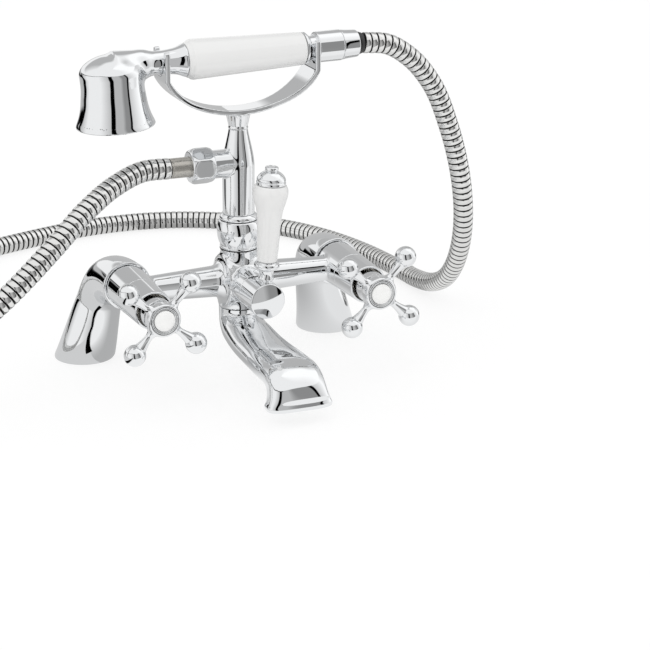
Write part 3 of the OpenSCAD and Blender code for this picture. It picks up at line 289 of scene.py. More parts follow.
def turned_field(place, profile, edge=0.35):
    """The field of a turned solid"""
    line = soften(profile, edge)
    if line[0][0] > 0:
        line = np.vstack([line, line[:1]])
    away = np.linalg.inv(place)

    def field(points):
        local = moved(away, points)
        x, y = np.hypot(local[:, 0], local[:, 1]), local[:, 2]
        best = np.full(len(x), 1e9)
        inside = np.zeros(len(x), bool)
        for p, q in zip(line[:-1], line[1:]):
            dx, dy = q - p
            t = np.clip(((x - p[0]) * dx + (y - p[1]) * dy) / (dx * dx + dy * dy), 0, 1)
            best = np.minimum(best, (x - p[0] - t * dx) ** 2 + (y - p[1] - t * dy) ** 2)
            if dy:
                inside ^= ((p[1] > y) != (q[1] > y)) & (x < p[0] + (y - p[1]) * dx / dy)
        return np.where(inside, -1, 1) * np.sqrt(best)
    return field


def rod_field(place, radius, start, end):
    """The field of a plain rod along the place's third axis"""
    away = np.linalg.inv(place)

    def field(points):
        local = moved(away, points)
        side = np.hypot(local[:, 0], local[:, 1]) - radius
        along = np.abs(local[:, 2] - (start + end) / 2) - (end - start) / 2
        return np.minimum(np.maximum(side, along), 0) + np.hypot(np.maximum(side, 0), np.maximum(along, 0))
    return field


def round_min(a, b, fillet):
    """The lesser of two distances, with a fillet where they are near each other"""
    h = np.maximum(fillet - np.abs(a - b), 0) / fillet
    return np.minimum(a, b) - h ** 3 * fillet / 6


def joined(fillet, *fields):
    """The union of fields, with fillets"""
    def field(points):
        best = fields[0](points)
        for other in fields[1:]:
            best = round_min(best, other(points), fillet)
        return best
    return field


def bored(edge, solid, *bores):
    """A field with others taken away"""
    def field(points):
        rest = -solid(points)
        for bore in bores:
            rest = round_min(rest, bore(points), edge)
        return -rest
    return field


def slope_of(field, points, reach):
    """The gradient of a field"""
    return np.stack([field(points + step) - field(points - step)
                     for step in np.eye(3) * reach], 1) / (2 * reach)


def skin(field, low, high, step, fine=0.3):
    """A closed mesh over the points where a field is zero, between two corners, with its own normals"""
    block = 4
    low = np.array(low, float) - 2 * step
    count = np.ceil((np.array(high) + 2 * step - low) / (step * block)).astype(int) + 1
    cells = np.stack(np.meshgrid(*[np.arange(n) for n in count], indexing="ij"), -1).reshape(-1, 3)
    rough = field(low + (cells * block + (block - 1) / 2) * step)
    near = np.abs(rough) < 1.5 * step * block
    value = np.where(rough < 0, -1e3, 1e3).reshape(count)
    for axis in range(3):
        value = np.repeat(value, block, axis=axis)
    inner = np.stack(np.meshgrid(*[np.arange(block)] * 3, indexing="ij"), -1).reshape(-1, 3)
    close = (cells[near][:, None] * block + inner).reshape(-1, 3)
    value[tuple(close.T)] = field(low + close * step)
    solid = value < 0
    size = np.array(value.shape)
    total = sum(solid[i:size[0] - 1 + i, j:size[1] - 1 + j, k:size[2] - 1 + k].astype(int)
                for i, j, k in itertools.product((0, 1), repeat=3))
    crossed = (total > 0) & (total < 8)
    index = np.full(crossed.shape, -1)
    at = np.argwhere(crossed)
    index[crossed] = np.arange(len(at))
    points, hits = np.zeros(at.shape), np.zeros(len(at))
    faces = []
    for axis in range(3):
        along, u, v = np.eye(3, dtype=int)[[axis, (axis + 1) % 3, (axis + 2) % 3]]
        for start in (0 * u, u, v, u + v):
            a, b = value[tuple((at + start).T)], value[tuple((at + start + along).T)]
            change = (a < 0) != (b < 0)
            part = np.where(change, a / np.where(change, a - b, 1), 0)
            points += change[:, None] * (start + part[:, None] * along)
            hits += change
        first = np.take(solid, range(size[axis] - 1), axis=axis)
        change = first != np.take(solid, range(1, size[axis]), axis=axis)
        s = np.argwhere(change)
        quad = np.stack([index[tuple((s - back).T)] for back in (u + v, v, 0 * u, u)], 1)
        outward = first[tuple(s.T)]
        faces += quad[outward].tolist() + quad[~outward][:, ::-1].tolist()
    points = low + (at + points / hits[:, None]) * step
    for _ in range(3):
        slope = slope_of(field, points, 0.1)
        push = field(points)[:, None] * slope / np.maximum((slope ** 2).sum(1), 0.2)[:, None]
        points -= np.clip(push, -0.6 * step, 0.6 * step)
    normals = slope_of(field, points, fine)
    return points, faces, normals / np.linalg.norm(normals, axis=1)[:, None]


def added(name, data):
    """A new object in the scene"""
    made = bpy.data.objects.new(name, data)
    bpy.context.scene.collection.objects.link(made)
    return made


def piece(name, shape, finish, body, *nodes):
    """Adds a shape in mm as an object of that finish, riding a body, if any, and standing for its nodes"""
    points, faces, normals = shape
    mesh = bpy.data.meshes.new(name)
    mesh.from_pydata((np.asarray(points) * MM).tolist(), [], faces)
    mesh.polygons.foreach_set("use_smooth", [True] * len(faces))
    if normals is None:
        mesh.set_sharp_from_angle(angle=math.radians(38))
    else:
        mesh.normals_split_custom_set_from_vertices(np.asarray(normals).tolist())
    mesh.materials.append(FINISHES[finish](finish))
    made = added(name, mesh)
    if body:
        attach(made, body)
    if nodes:
        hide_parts(*nodes)
    return made


# ---------------------------------------------------------------- finishes

class Nodes:
    """A node tree that is built by short calls"""

    def __init__(self, tree):
        self.tree = tree
        tree.nodes.clear()

    def add(self, kind, *links, **values):
        """A node, with sockets linked or set in order, and settings by name"""
        node = self.tree.nodes.new("ShaderNode" + kind)
        for key, value in values.items():
            setattr(node, key, value)
        for socket, value in enumerate(links):
            self.put(node, socket, value)
        return node

    def put(self, node, socket, value):
        """Links a socket to a node's first output or to an output, or sets its value"""
        if value is None:
            return
        if hasattr(value, "outputs"):
            value = value.outputs[0]
        if isinstance(value, bpy.types.NodeSocket):
            self.tree.links.new(value, node.inputs[socket])
        else:
            node.inputs[socket].default_value = value

    def math(self, operation, a, b=0.0, c=0.0):
        """An arithmetic node"""
        return self.add("Math", a, b, c, operation=operation)

    def mixed(self, share, low, high):
        """A value between two others"""
        return self.add("Mix", share, None, low, high, data_type="FLOAT")

    def ramp(self, factor, *stops):
        """A colour ramp between grey levels: each stop is a place and a level"""
        node = self.add("ValToRGB", factor)
        for k, (place, level) in enumerate(stops):
            stop = node.color_ramp.elements[k] if k < 2 else node.color_ramp.elements.new(place)
            stop.position = place
            stop.color = (level, level, level, 1)
        return node

    def noise(self, vector, scale, detail=2.0):
        """A noise over a vector"""
        node = self.add("TexNoise", vector)
        node.inputs["Scale"].default_value = scale
        node.inputs["Detail"].default_value = detail
        return node


def new_material(name):
    """A new material and its empty node tree"""
    material = bpy.data.materials.new(name)
    material.use_nodes = True
    return material, Nodes(material.node_tree)


def surface(name, **settings):
    """A new material with its shader set, and the tools to link to it"""
    material, nodes = new_material(name)
    shader = nodes.add("BsdfPrincipled")
    nodes.add("OutputMaterial", shader)
    for key, value in settings.items():
        shader.inputs[key.replace("_", " ")].default_value = value
    return material, nodes, shader


# Sockets of a Mix node that mixes colours
MIX_FACTOR, MIX_COLOUR_A, MIX_COLOUR_B, MIX_COLOUR_OUT = 0, 6, 7, 2


def opaque(colour):
    """A colour with its alpha"""
    return (*colour, 1)


def tinted(nodes, shader, spread, scale, colour):
    """Mottles the base colour about a colour"""
    coord = nodes.add("TexCoord").outputs["Object"]
    dark = [c * (1 - spread) for c in colour]
    blend = nodes.add("Mix", data_type="RGBA")
    nodes.put(blend, MIX_FACTOR, nodes.noise(coord, scale))
    nodes.put(blend, MIX_COLOUR_A, opaque(dark))
    nodes.put(blend, MIX_COLOUR_B, opaque(colour))
    nodes.put(shader, "Base Color", blend.outputs[MIX_COLOUR_OUT])
    return coord


def roughened(nodes, shader, coord, scale, low, high):
    """Varies the roughness between two values"""
    reach = nodes.add("MapRange", nodes.noise(coord, scale, 4))
    reach.inputs["From Min"].default_value = 0.3
    reach.inputs["From Max"].default_value = 0.7
    reach.inputs["To Min"].default_value = low
    reach.inputs["To Max"].default_value = high
    nodes.put(shader, "Roughness", reach)


def bumped(nodes, shader, height, depth):
    """Bumps the surface by a height node, depth metres deep"""
    bump = nodes.add("Bump")
    bump.inputs["Strength"].default_value = 1
    bump.inputs["Distance"].default_value = depth
    nodes.put(bump, "Height", height)
    nodes.put(shader, "Normal", bump)


def made_once(build):
    """Keeps the material that a builder makes, by its name"""
    def finish(name):
        if name not in bpy.data.materials or not bpy.data.materials[name].get("mixer_finish"):
            if name in bpy.data.materials:
                bpy.data.materials[name].name = name + "_packed"
            material = build(name)
            material["mixer_finish"] = True
        return bpy.data.materials[name]
    return finish


def chrome(name):
    """Chrome plate on polished brass castings: a mirror with a slow waver left by the polishing"""
    material, nodes, shader = surface(name, Metallic=1.0)
    coord = tinted(nodes, shader, 0.02, 40, bpy.context.scene.mixer_looks.chrome)
    roughened(nodes, shader, coord, 350, 0.02, 0.05)
    bumped(nodes, shader, nodes.noise(coord, 70, 1), 0.00003)
    return material


def satin_nickel(name):
    """Satin nickel, brushed round the ferrule"""
    material, nodes, shader = surface(name, Metallic=1.0)
    coord = tinted(nodes, shader, 0.06, 300, bpy.context.scene.mixer_looks.nickel)
    roughened(nodes, shader, coord, 900, 0.26, 0.38)
    stretched = nodes.add("Mapping", coord)
    stretched.inputs["Scale"].default_value = (1, 0.04, 0.04)
    bumped(nodes, shader, nodes.noise(stretched, 6000), 0.000004)
    return material


def hose_steel(name):
    """Interlocked stainless strip, drawn satin"""
    material, nodes, shader = surface(name, Metallic=1.0)
    coord = tinted(nodes, shader, 0.06, 260, bpy.context.scene.mixer_looks.hose)
    roughened(nodes, shader, coord, 500, 0.07, 0.13)
    bumped(nodes, shader, nodes.noise(coord, 900, 2), 0.000003)
    return material


def groove_painted_shade(name):
    """Painted shade: near-black steel on the grooves between the hose's bands, in place of the shadow inside
    them
    """
    material, nodes, shader = surface(name, Metallic=1.0)
    coord = tinted(nodes, shader, 0.30, 800, (0.02, 0.02, 0.019))
    roughened(nodes, shader, coord, 900, 0.42, 0.6)
    return material


def glazed(name, colour, scale):
    """White glaze with a faint mottle and the slow waver of a fired surface"""
    material, nodes, shader = surface(name, Specular_IOR_Level=0.5, IOR=1.5)
    coord = tinted(nodes, shader, 0.025, 90, colour)
    roughened(nodes, shader, coord, 240, 0.05, 0.12)
    bumped(nodes, shader, nodes.noise(coord, scale, 2), 0.00002)
    return material


def white_ceramic(name):
    """Glazed ceramic of the grips"""
    return glazed(name, bpy.context.scene.mixer_looks.ceramic, 60)


def index_enamel(name):
    """Enamel of the index discs"""
    return glazed(name, bpy.context.scene.mixer_looks.enamel, 200)


def technical_ceramic(name):
    """Lapped ceramic of the valve discs"""
    material, nodes, shader = surface(name, IOR=1.7)
    coord = tinted(nodes, shader, 0.04, 500, (0.84, 0.83, 0.79))
    roughened(nodes, shader, coord, 1200, 0.22, 0.34)
    return material


def black_rubber(name):
    """Black rubber with a moulded bloom"""
    material, nodes, shader = surface(name)
    coord = tinted(nodes, shader, 0.4, 500, bpy.context.scene.mixer_looks.rubber)
    roughened(nodes, shader, coord, 700, 0.5, 0.7)
    bumped(nodes, shader, nodes.noise(coord, 2500), 0.00001)
    return material


def black_collar(name):
    """Smooth black nylon"""
    material, nodes, shader = surface(name)
    coord = tinted(nodes, shader, 0.3, 400, (0.012, 0.012, 0.013))
    roughened(nodes, shader, coord, 600, 0.28, 0.4)
    return material


def grey_plastic(name):
    """Moulded acetal"""
    material, nodes, shader = surface(name)
    coord = tinted(nodes, shader, 0.05, 600, (0.55, 0.56, 0.57))
    roughened(nodes, shader, coord, 900, 0.4, 0.5)
    bumped(nodes, shader, nodes.noise(coord, 3000), 0.000006)
    return material


def turned_metal(name, colour, low, high):
    """Bare metal with fine tool marks"""
    material, nodes, shader = surface(name, Metallic=1.0)
    coord = tinted(nodes, shader, 0.08, 400, colour)
    roughened(nodes, shader, coord, 1500, low, high)
    bumped(nodes, shader, nodes.noise(coord, 5000), 0.000003)
    return material


def brass(name):
    """Nickel-plated brass of the parts inside"""
    return turned_metal(name, bpy.context.scene.mixer_looks.brass, 0.2, 0.34)


def steel(name):
    """Plain stainless steel"""
    return turned_metal(name, (0.56, 0.55, 0.53), 0.24, 0.36)


FINISHES = {build.__name__: made_once(build)
            for build in (chrome, satin_nickel, hose_steel, groove_painted_shade, white_ceramic, index_enamel,
                          technical_ceramic, black_rubber, black_collar, grey_plastic, brass, steel)}


def finish_nodes():
    """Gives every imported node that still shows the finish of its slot"""
    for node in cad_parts.values():
        for k, material in enumerate(node.data.materials):
            slot = material.name.split(".")[0].replace("_packed", "")
            node.data.materials[k] = FINISHES[slot](slot)


# ---------------------------------------------------------------- places

def valve_place(s, x, forward=0.0):
    """A frame on a valve axis: its third axis runs forward"""
    return axes((x, -forward, s.valve_z), (0, -1, 0))


def riser_place(s, z=0.0):
    """A frame on the riser's axis"""
    return axes((0, -s.bridge_y, z), (0, 0, 1))


HANDSET_TILT = math.radians(1.1)
ROSE_TILT = math.radians(2.4)
ROSE_REACH = 84.3
ROSE_H = 46.0
ROSE_TOP = 8
HANDSET_Z = 216.55
OUTLET_Z = 144.85
GRIP_LEN = 82.0
GRIP_HEAD_X = -36.5
GRIP_TAIL_X = 45.5
TAIL_X = 53.8
TAIL_LEN = 17.9
CONE_NUT_X = 71.8
CONE_NUT_LEN = 11.9
FORK_REACH = 51.8
CRADLE_DROP = 38.5


def handset_place(s, x, z=0.0):
    """A frame on the handset's axis: its third axis runs from the rose to the hose"""
    c, d = math.cos(HANDSET_TILT), math.sin(HANDSET_TILT)
    origin = (x * c - z * d, -s.bridge_y, HANDSET_Z + x * d + z * c)
    return axes(origin, (c, 0, d), (0, 1, 0))


def rose_place(s):
    """A frame on the rose's axis, at its rim"""
    tilt = HANDSET_TILT + ROSE_TILT
    origin = handset_place(s, -ROSE_REACH, ROSE_TOP - ROSE_H)[:3, 3]
    return axes(origin, (-math.sin(tilt), 0, math.cos(tilt)))


# ---------------------------------------------------------------- legs

LIP_T = 3.2
THREAD_R = 12.06
THREAD_DEPTH = 15.0
GASKET_T = 1.6
SIDES = 96


def bezier(path, t):
    """A point on a curve with two handles"""
    return (path[0] * (1 - t) ** 3 + path[1] * 3 * t * (1 - t) ** 2 + path[2] * 3 * t * t * (1 - t)
            + path[3] * t ** 3)


def leg_radius(s, t):
    """A leg's radius from its foot, at 0, to its head, at 1"""
    if t < 0.5:
        return mix(s.leg_waist_d, s.leg_base_d, (1 - 2 * t) ** 1.15) / 2
    return mix(s.leg_waist_d, s.leg_head_d, ease(2 * t - 1)) / 2


def leg_shape(s, side):
    """A leg: a pillar that leans forward into its head, with a threaded foot"""
    base = np.array((side * s.inlet_x, 0, 0))
    head = np.array((side * s.valve_x, -s.leg_face + LIP_T / 2, s.valve_z))
    path = (base, base + (-side * 6, -12, 0.48 * s.valve_z), head + (0, 1.1 * s.leg_face, 0), head)
    turn = 2 * math.pi * np.arange(SIDES) / SIDES
    gasket_r = s.leg_base_d / 2 - 1.2

    def flat_ring(radius, z):
        return base + np.stack([radius * np.cos(turn), radius * np.sin(turn), np.full(SIDES, z)], 1)

    rings = [flat_ring(THREAD_R, THREAD_DEPTH), flat_ring(THREAD_R, 0), flat_ring(gasket_r - 3.1, 0),
             flat_ring(gasket_r - 3.1, GASKET_T), flat_ring(gasket_r + 0.1, GASKET_T),
             flat_ring(gasket_r + 0.1, 0)]
    for t in np.concatenate([[0, 0.003, 0.008, 0.015], np.linspace(0.025, 1, 60)]):
        run = bezier(path, t + 0.01) - bezier(path, t - 0.01)
        lean = math.atan2(-run[1], run[2]) * ease(t / 0.35)
        radius = leg_radius(s, t) - 0.7 * (1 - min(1, 40 * t)) ** 2
        ring = np.stack([np.cos(turn), np.sin(turn) * math.cos(lean), np.sin(turn) * math.sin(lean)], 1)
        rings.append(bezier(path, t) + radius * ring)
    return loft(rings)


def make_legs(s):
    """Both legs with the lip that the barrel seats on"""
    r = s.leg_head_d / 2
    lip = [(0, 0), (r - 0.8, 0), (r + 0.4, 1), (r + 0.4, LIP_T - 0.6), (r - 0.2, LIP_T), (0, LIP_T)]
    for name, side in (("hot", -1), ("cold", 1)):
        piece(name + "_leg_pillar", leg_shape(s, side), "chrome", "mixer", name + "_leg")
        place = valve_place(s, side * s.valve_x, s.leg_face - LIP_T)
        piece(name + "_leg_lip", lathe(place, lip), "chrome", "mixer", name + "_leg")


# ---------------------------------------------------------------- body and valves

SOCKET_R = 10.55
INLET_R = 7.5
RISER_WAY_R = 6.5
BRIDGE_WAY_R = 5.5
CHAMBER_R = 8.5
BORE_EDGE = 0.4
RIM_WALL = 1.3


def both_sides(field):
    """A field over the cold side, mirrored to the hot side"""
    def mirrored(points):
        half = points.copy()
        half[:, 0] = np.abs(half[:, 0])
        return field(half)
    return mirrored


def body_field(s):
    """The body: its core, the bridge's two bars, the valve barrels and the diverter barrel"""
    foot_r, neck_r = s.body_foot_d / 2, s.body_neck_d / 2
    belly_r = foot_r + 1.2
    drop, rise = s.valve_z - s.body_foot_z, s.neck_z - s.valve_z
    core = outline((0, 0), (foot_r - 0.3, 0),
                   curve([(foot_r, 0.4), (foot_r + 0.4, drop * 0.35), (belly_r, drop * 0.7),
                          (belly_r, drop + 3), (belly_r - 0.9, drop + 8),
                          (neck_r + 0.3, drop + rise * 0.62), (neck_r, drop + rise * 0.8),
                          (neck_r, drop + rise)], 1.5), (0, drop + rise))
    spigot = rod_field(riser_place(s, s.neck_z), neck_r - 2, -1, 7.5)
    root_r, end_r, flare = s.bar_root_d / 2, s.bar_end_d / 2, 7
    fillet_x = foot_r + flare - 1
    turn = np.radians(np.linspace(270, 180, 12))
    bar = outline((0, 0), (root_r + flare, 0),
                  np.stack([root_r + flare + flare * np.cos(turn), fillet_x + flare * np.sin(turn)], 1),
                  (end_r, s.valve_x - s.barrel_d / 2 + 3), (end_r, s.valve_x), (0, s.valve_x))
    r0 = s.barrel_d / 2
    r1 = mix(r0, s.shroud_rim_d / 2, (s.shroud - s.barrel) / (s.rim - s.barrel))
    barrel = [(0, s.barrel), (r0, s.barrel), (r1, s.shroud), (0, s.shroud)]
    one_bar = turned_field(axes((0, -s.bridge_y, s.valve_z), (1, 0, 0)), bar)
    one_barrel = turned_field(valve_place(s, s.valve_x), barrel)
    neck = turned_field(riser_place(s, s.body_foot_z), core)
    mouth = -box("diverter_cap")[1][1] - FREE_GAP
    diverter = rod_field(valve_place(s, 0), s.diverter_d / 2, s.bridge_y, mouth)
    socket = rod_field(valve_place(s, s.valve_x), SOCKET_R, s.barrel + 3.5, s.shroud + 20)
    inlet = rod_field(valve_place(s, s.valve_x), INLET_R, s.barrel - 5, s.barrel + 5)
    water = rod_field(riser_place(s), RISER_WAY_R, s.body_foot_z - 5, s.neck_z + 20)
    across = rod_field(axes((0, -s.bridge_y, s.valve_z), (1, 0, 0)), BRIDGE_WAY_R, -5, s.valve_x)
    chamber = rod_field(valve_place(s, 0), CHAMBER_R, s.bridge_y - 7, mouth + 20)
    casting = joined(2.5, joined(4, neck, one_bar), diverter, one_barrel)
    return both_sides(bored(BORE_EDGE, joined(0.5, casting, spigot), socket, inlet, water, across, chamber))


def make_body(s):
    """The mixer's casting"""
    r = s.barrel_d / 2
    low = (-s.valve_x - r, box("mixer_body")[0][1], s.body_foot_z)
    high = (s.valve_x + r, box("mixer_body")[1][1], s.neck_z + 8)
    piece("body_casting", skin(body_field(s), low, high, 0.9, 0.45), "chrome", "mixer", "mixer_body")


def make_shrouds(s):
    """The tapered shrouds in front of the barrels"""
    rim_r = s.shroud_rim_d / 2
    flange_r = rim_r - RIM_WALL - 0.6
    depth = s.rim - s.shroud - SEAT_GAP
    back_r = mix(s.barrel_d / 2, rim_r, (s.shroud + SEAT_GAP - s.barrel) / (s.rim - s.barrel))
    profile = [(flange_r + 0.1, 0), (back_r, 0), (rim_r + 0.2, depth - 2), (rim_r, depth - 0.6),
               (rim_r - 0.5, depth), (rim_r - RIM_WALL, depth - 0.3), (flange_r + 0.1, depth - 4)]
    for name, side in (("hot", -1), ("cold", 1)):
        place = valve_place(s, side * s.valve_x, s.shroud + SEAT_GAP)
        piece(name + "_shroud_shell", lathe(place, profile), "chrome", "mixer", name + "_shroud")


# ---------------------------------------------------------------- cross handles

HUB_LEN = 24.5
POCKET_DEPTH = 5.5
SPINDLE_R = 4.3
SCREW_R = 3.9
ARM_NECK_R = 2.4
CROSS_TURN = math.radians(4.7)


def handle_field(s, side):
    """A cross handle: a hub that swells from its skirt, and four arms with balls"""
    hub_r, ball_r = s.hub_d / 2, s.ball_d / 2
    skirt_r = s.shroud_rim_d / 2 - RIM_WALL - 1.6
    place = valve_place(s, side * s.valve_x, s.hub)
    hub = outline((0, 0), (skirt_r, 0), (skirt_r, 3),
                  curve([(skirt_r, 4), (skirt_r + 0.5, 6), (hub_r - 0.7, 13), (hub_r, 18)], 1.2),
                  (hub_r, HUB_LEN - 1.6), (hub_r - 0.5, HUB_LEN - 0.5), (hub_r - 1.2, HUB_LEN),
                  (0, HUB_LEN))
    join_turn = math.radians(145)
    join_r, join_x = ball_r * math.sin(join_turn), s.arm_reach + ball_r * math.cos(join_turn)
    along = np.linspace(0, 1, 10)
    neck = np.stack([mix(ARM_NECK_R, join_r, along ** 1.7), mix(hub_r + 3, join_x, along)], 1)
    turn = np.radians(np.linspace(140, 0, 22))
    ball = np.stack([ball_r * np.sin(turn), s.arm_reach + ball_r * np.cos(turn)], 1)
    ball[-1, 0] = 0
    arm = outline((0, hub_r - 3), (ARM_NECK_R + 1.6, hub_r - 3),
                  curve([(ARM_NECK_R + 1.6, hub_r - 2.2), (ARM_NECK_R + 0.6, hub_r + 0.8), neck[0]], 1),
                  neck[1:], ball)
    hub_field = turned_field(place, hub)
    arm_field = turned_field(axes((0, 0, 0), (1, 0, 0), (0, 0, 1)), arm)
    away = np.linalg.inv(place)
    pocket = rod_field(place, hub_r - 1.9, HUB_LEN - POCKET_DEPTH, HUB_LEN + 5)
    bore = rod_field(place, SPINDLE_R, -5, 12)
    screw_way = rod_field(place, SCREW_R, 16, HUB_LEN)
    arm_up = HUB_LEN - 5

    def four_arms(points):
        local = moved(away, points)
        turned = np.arctan2(local[:, 1], local[:, 0]) - CROSS_TURN
        turned = np.mod(turned, math.pi / 2) - math.pi / 4
        reach = np.hypot(local[:, 0], local[:, 1])
        return arm_field(np.stack([reach * np.cos(turned), reach * np.sin(turned),
                                   local[:, 2] - arm_up], 1))
    return bored(BORE_EDGE, joined(3.2, hub_field, four_arms), pocket, bore, screw_way)


def make_handles(s):
    """Both cross handles with their bezels and bare white index discs"""
    bezel_r, index_r = s.hub_d / 2 - 2, s.index_d / 2
    ring = [(index_r + 0.3, 1.2), (index_r + 0.3, 4.6), (index_r + 0.7, 4.5), (bezel_r - 0.9, 5.1),
            (bezel_r - 0.5, 5.9), (bezel_r - 0.15, 5.5), (bezel_r - 0.15, 4), (bezel_r, 3.6),
            (bezel_r, 0), (3, 0), (3, 1.2)]
    disc = outline((0, 1.2), (index_r, 1.2), (index_r, 5.4),
                   curve([(index_r - 0.7, 6.0), (index_r - 2.2, 6.8), (index_r * 0.35, 7.25),
                          (0, 7.3)], 0.5))
    for name, side in (("hot", -1), ("cold", 1)):
        x, body = side * s.valve_x, name + "_handle"
        node = name + "_cross_handle"
        low, high = box(node)
        casting = skin(handle_field(s, side), low, high, 0.55, 0.3)
        piece(name + "_handle_casting", casting, "chrome", body, node)
        place = valve_place(s, x, s.hub + HUB_LEN - POCKET_DEPTH)
        piece(name + "_index_bezel", lathe(place, ring), "chrome", body, name + "_bezel")
        piece(name + "_index_disc", lathe(place, disc), "index_enamel", body, name + "_index")


# ---------------------------------------------------------------- diverter

DOME_H = 1.6
LEVER_BACK = 6.6
STEM_BASE = 11.4
FERRULE_RISE = 21.0
GRIP_RISE = 25.9
FINIAL_DROP = 12.3
LEVER_LEN = 89.1
LEVER_LEAN = math.radians(3.2)


def make_diverter(s):
    """The diverter's turning cap and its lever with a ceramic grip"""
    r = s.diverter_d / 2
    face = -box("diverter_cap")[0][1]
    cap_len = face + box("diverter_cap")[1][1]
    dome_r = (r * r + DOME_H * DOME_H) / (2 * DOME_H)
    turn = np.linspace(math.asin((r - 0.6) / dome_r), 0, 12)
    front = cap_len + 0.8 - dome_r + dome_r * np.cos(turn)
    cap = outline((0, 0), (r, 0), (r, cap_len - 1.2), (r - 0.2, cap_len - 0.9),
                  np.stack([dome_r * np.sin(turn), front], 1))
    cap[-1, 0] = 0
    piece("diverter_turning_cap", lathe(valve_place(s, 0, face - cap_len), cap, edge=0.25), "chrome",
          "diverter_lever", "diverter_cap")
    place = axes((0, -face + LEVER_BACK, s.valve_z), (math.sin(LEVER_LEAN), 0, math.cos(LEVER_LEAN)))
    stem = outline((0, STEM_BASE - 3), (4.3, STEM_BASE - 3), (4.3, STEM_BASE + 1.2),
                   curve([(4.5, STEM_BASE + 1.5), (5.1, STEM_BASE + 2.4), (4.7, STEM_BASE + 4.4),
                          (4.6, STEM_BASE + 6.5), (4.9, FERRULE_RISE - 1.2)], 0.5),
                   curve([(5.4, FERRULE_RISE - 0.7), (7.6, FERRULE_RISE + 0.5), (8.4, FERRULE_RISE + 2.2),
                          (8.0, GRIP_RISE - 1.3)], 0.5), (7.2, GRIP_RISE - 0.8), (7.2, GRIP_RISE),
                   (0, GRIP_RISE))
    piece("lever_neck", lathe(place, stem, edge=0.25), "chrome", "diverter_lever", "lever_stem")
    grip_r, top = s.lever_grip_d / 2, LEVER_LEN - FINIAL_DROP
    h = top - GRIP_RISE
    grip = outline((0, 0), (6.2, 0),
                   curve([(6.6, 0.5), (7.2, h * 0.24), (7.8, h * 0.5), (8.7, h * 0.67), (10.4, h * 0.79),
                          (grip_r + 0.3, h * 0.88), (grip_r + 0.4, h * 0.925), (grip_r, h * 0.96),
                          (grip_r - 1.0, h)], 1.0), (0, h))
    grip_place = axes(moved(place, np.array([[0, 0, GRIP_RISE]]))[0], place[:3, 2])
    piece("lever_ceramic", lathe(grip_place, grip, edge=0.25), "white_ceramic", "diverter_lever",
          "lever_grip")
    finial = outline((0, 0), (9.0, 0), curve([(9.6, 0.5), (9.6, 2.0)], 0.5), (9.1, 2.6),
                     curve([(9.5, 3.1), (9.4, 4.0), (8.6, 5.6), (7.1, 7.3), (5.3, 8.5), (3.9, 9.0)], 0.5),
                     (3.7, 9.3),
                     curve([(4.3, 9.7), (4.4, 10.6), (4.3, 11.6), (3.2, 12.2), (0, FINIAL_DROP)], 0.5))
    finial_place = axes(moved(place, np.array([[0, 0, top]]))[0], place[:3, 2])
    piece("lever_cap", lathe(finial_place, finial, edge=0.25), "chrome", "diverter_lever", "lever_finial")


# ---------------------------------------------------------------- spout

SPOUT_LIP_Z = 10.8
LIP_WALL = 2.8
STRAIGHTENER_R = 7.8


def spout_stations(s):
    """Rings of the spout: the share forward and down, the ring's pitch in degrees, its half width,
    its depth to the front or top and to the back or underside, and its squareness. The first two
    rings are given. The rest are rounded from a least-squares fit, the lip's four then changed one by one."""
    r, w, f, b = s.body_foot_d / 2 + 0.2, s.lip_w / 2, s.lip_front, s.lip_back
    return [(0, 0, 0, r, r, r, 2), (0.002, 0.11, 4, r, r - 0.2, r - 0.2, 2),
            (0.023, 0.25, 20, r + 0.7, r, r - 1.2, 2.1), (0.08, 0.385, 44, r + 1.6, r - 1, r - 2.8, 2.2),
            (0.18, 0.455, 62, r + 2.6, r - 2.7, r - 4.8, 2.4),
            (0.32, 0.51, 76, r + 3.5, r - 3.8, r - 6.4, 2.5),
            (0.47, 0.53, 84, r + 4.2, r - 4.1, r - 7.5, 2.6),
            (0.62, 0.53, 84, r + 5.2, r - 3.9, r - 8.1, 2.6),
            (0.74, 0.525, 76, r + 5.6, r - 3.9, r - 7.7, 2.7),
            (0.84, 0.52, 58, r + 5.5, r - 3.5, r - 6.2, 2.8),
            (0.905, 0.56, 34, r + 5.3, r - 3.2, r - 5.3, 2.9),
            (0.95, 0.65, 14, r + 5.4, r - 3, r - 4.4, 3),
            (0.985, 0.80, 5, w - 2.2, f + 1.0, b - 1.7, 3), (1, 0.89, 1, w - 1.1, f - 0.4, b - 0.8, 3),
            (1, 0.955, 1, w - 0.1, f + 0.2, b, 3), (1, 1, 0, w - 0.3, f + 0.1, b - 0.3, 3)]


def spout_ring(s, station, sides=144):
    """One ring of the spout"""
    forward, down, pitch, half, front, back, square = station
    turn = -2 * math.pi * np.arange(sides) / sides
    u = half * np.sign(np.cos(turn)) * np.abs(np.cos(turn)) ** (2 / square)
    w = np.sign(np.sin(turn)) * np.abs(np.sin(turn)) ** (2 / square)
    v = np.where(w > 0, back, front) * w
    y = -s.bridge_y - forward * s.spout_reach + v * math.cos(math.radians(pitch))
    z = mix(s.spout_top_z, SPOUT_LIP_Z, down) - v * math.sin(math.radians(pitch))
    return np.stack([u, y, z], 1)


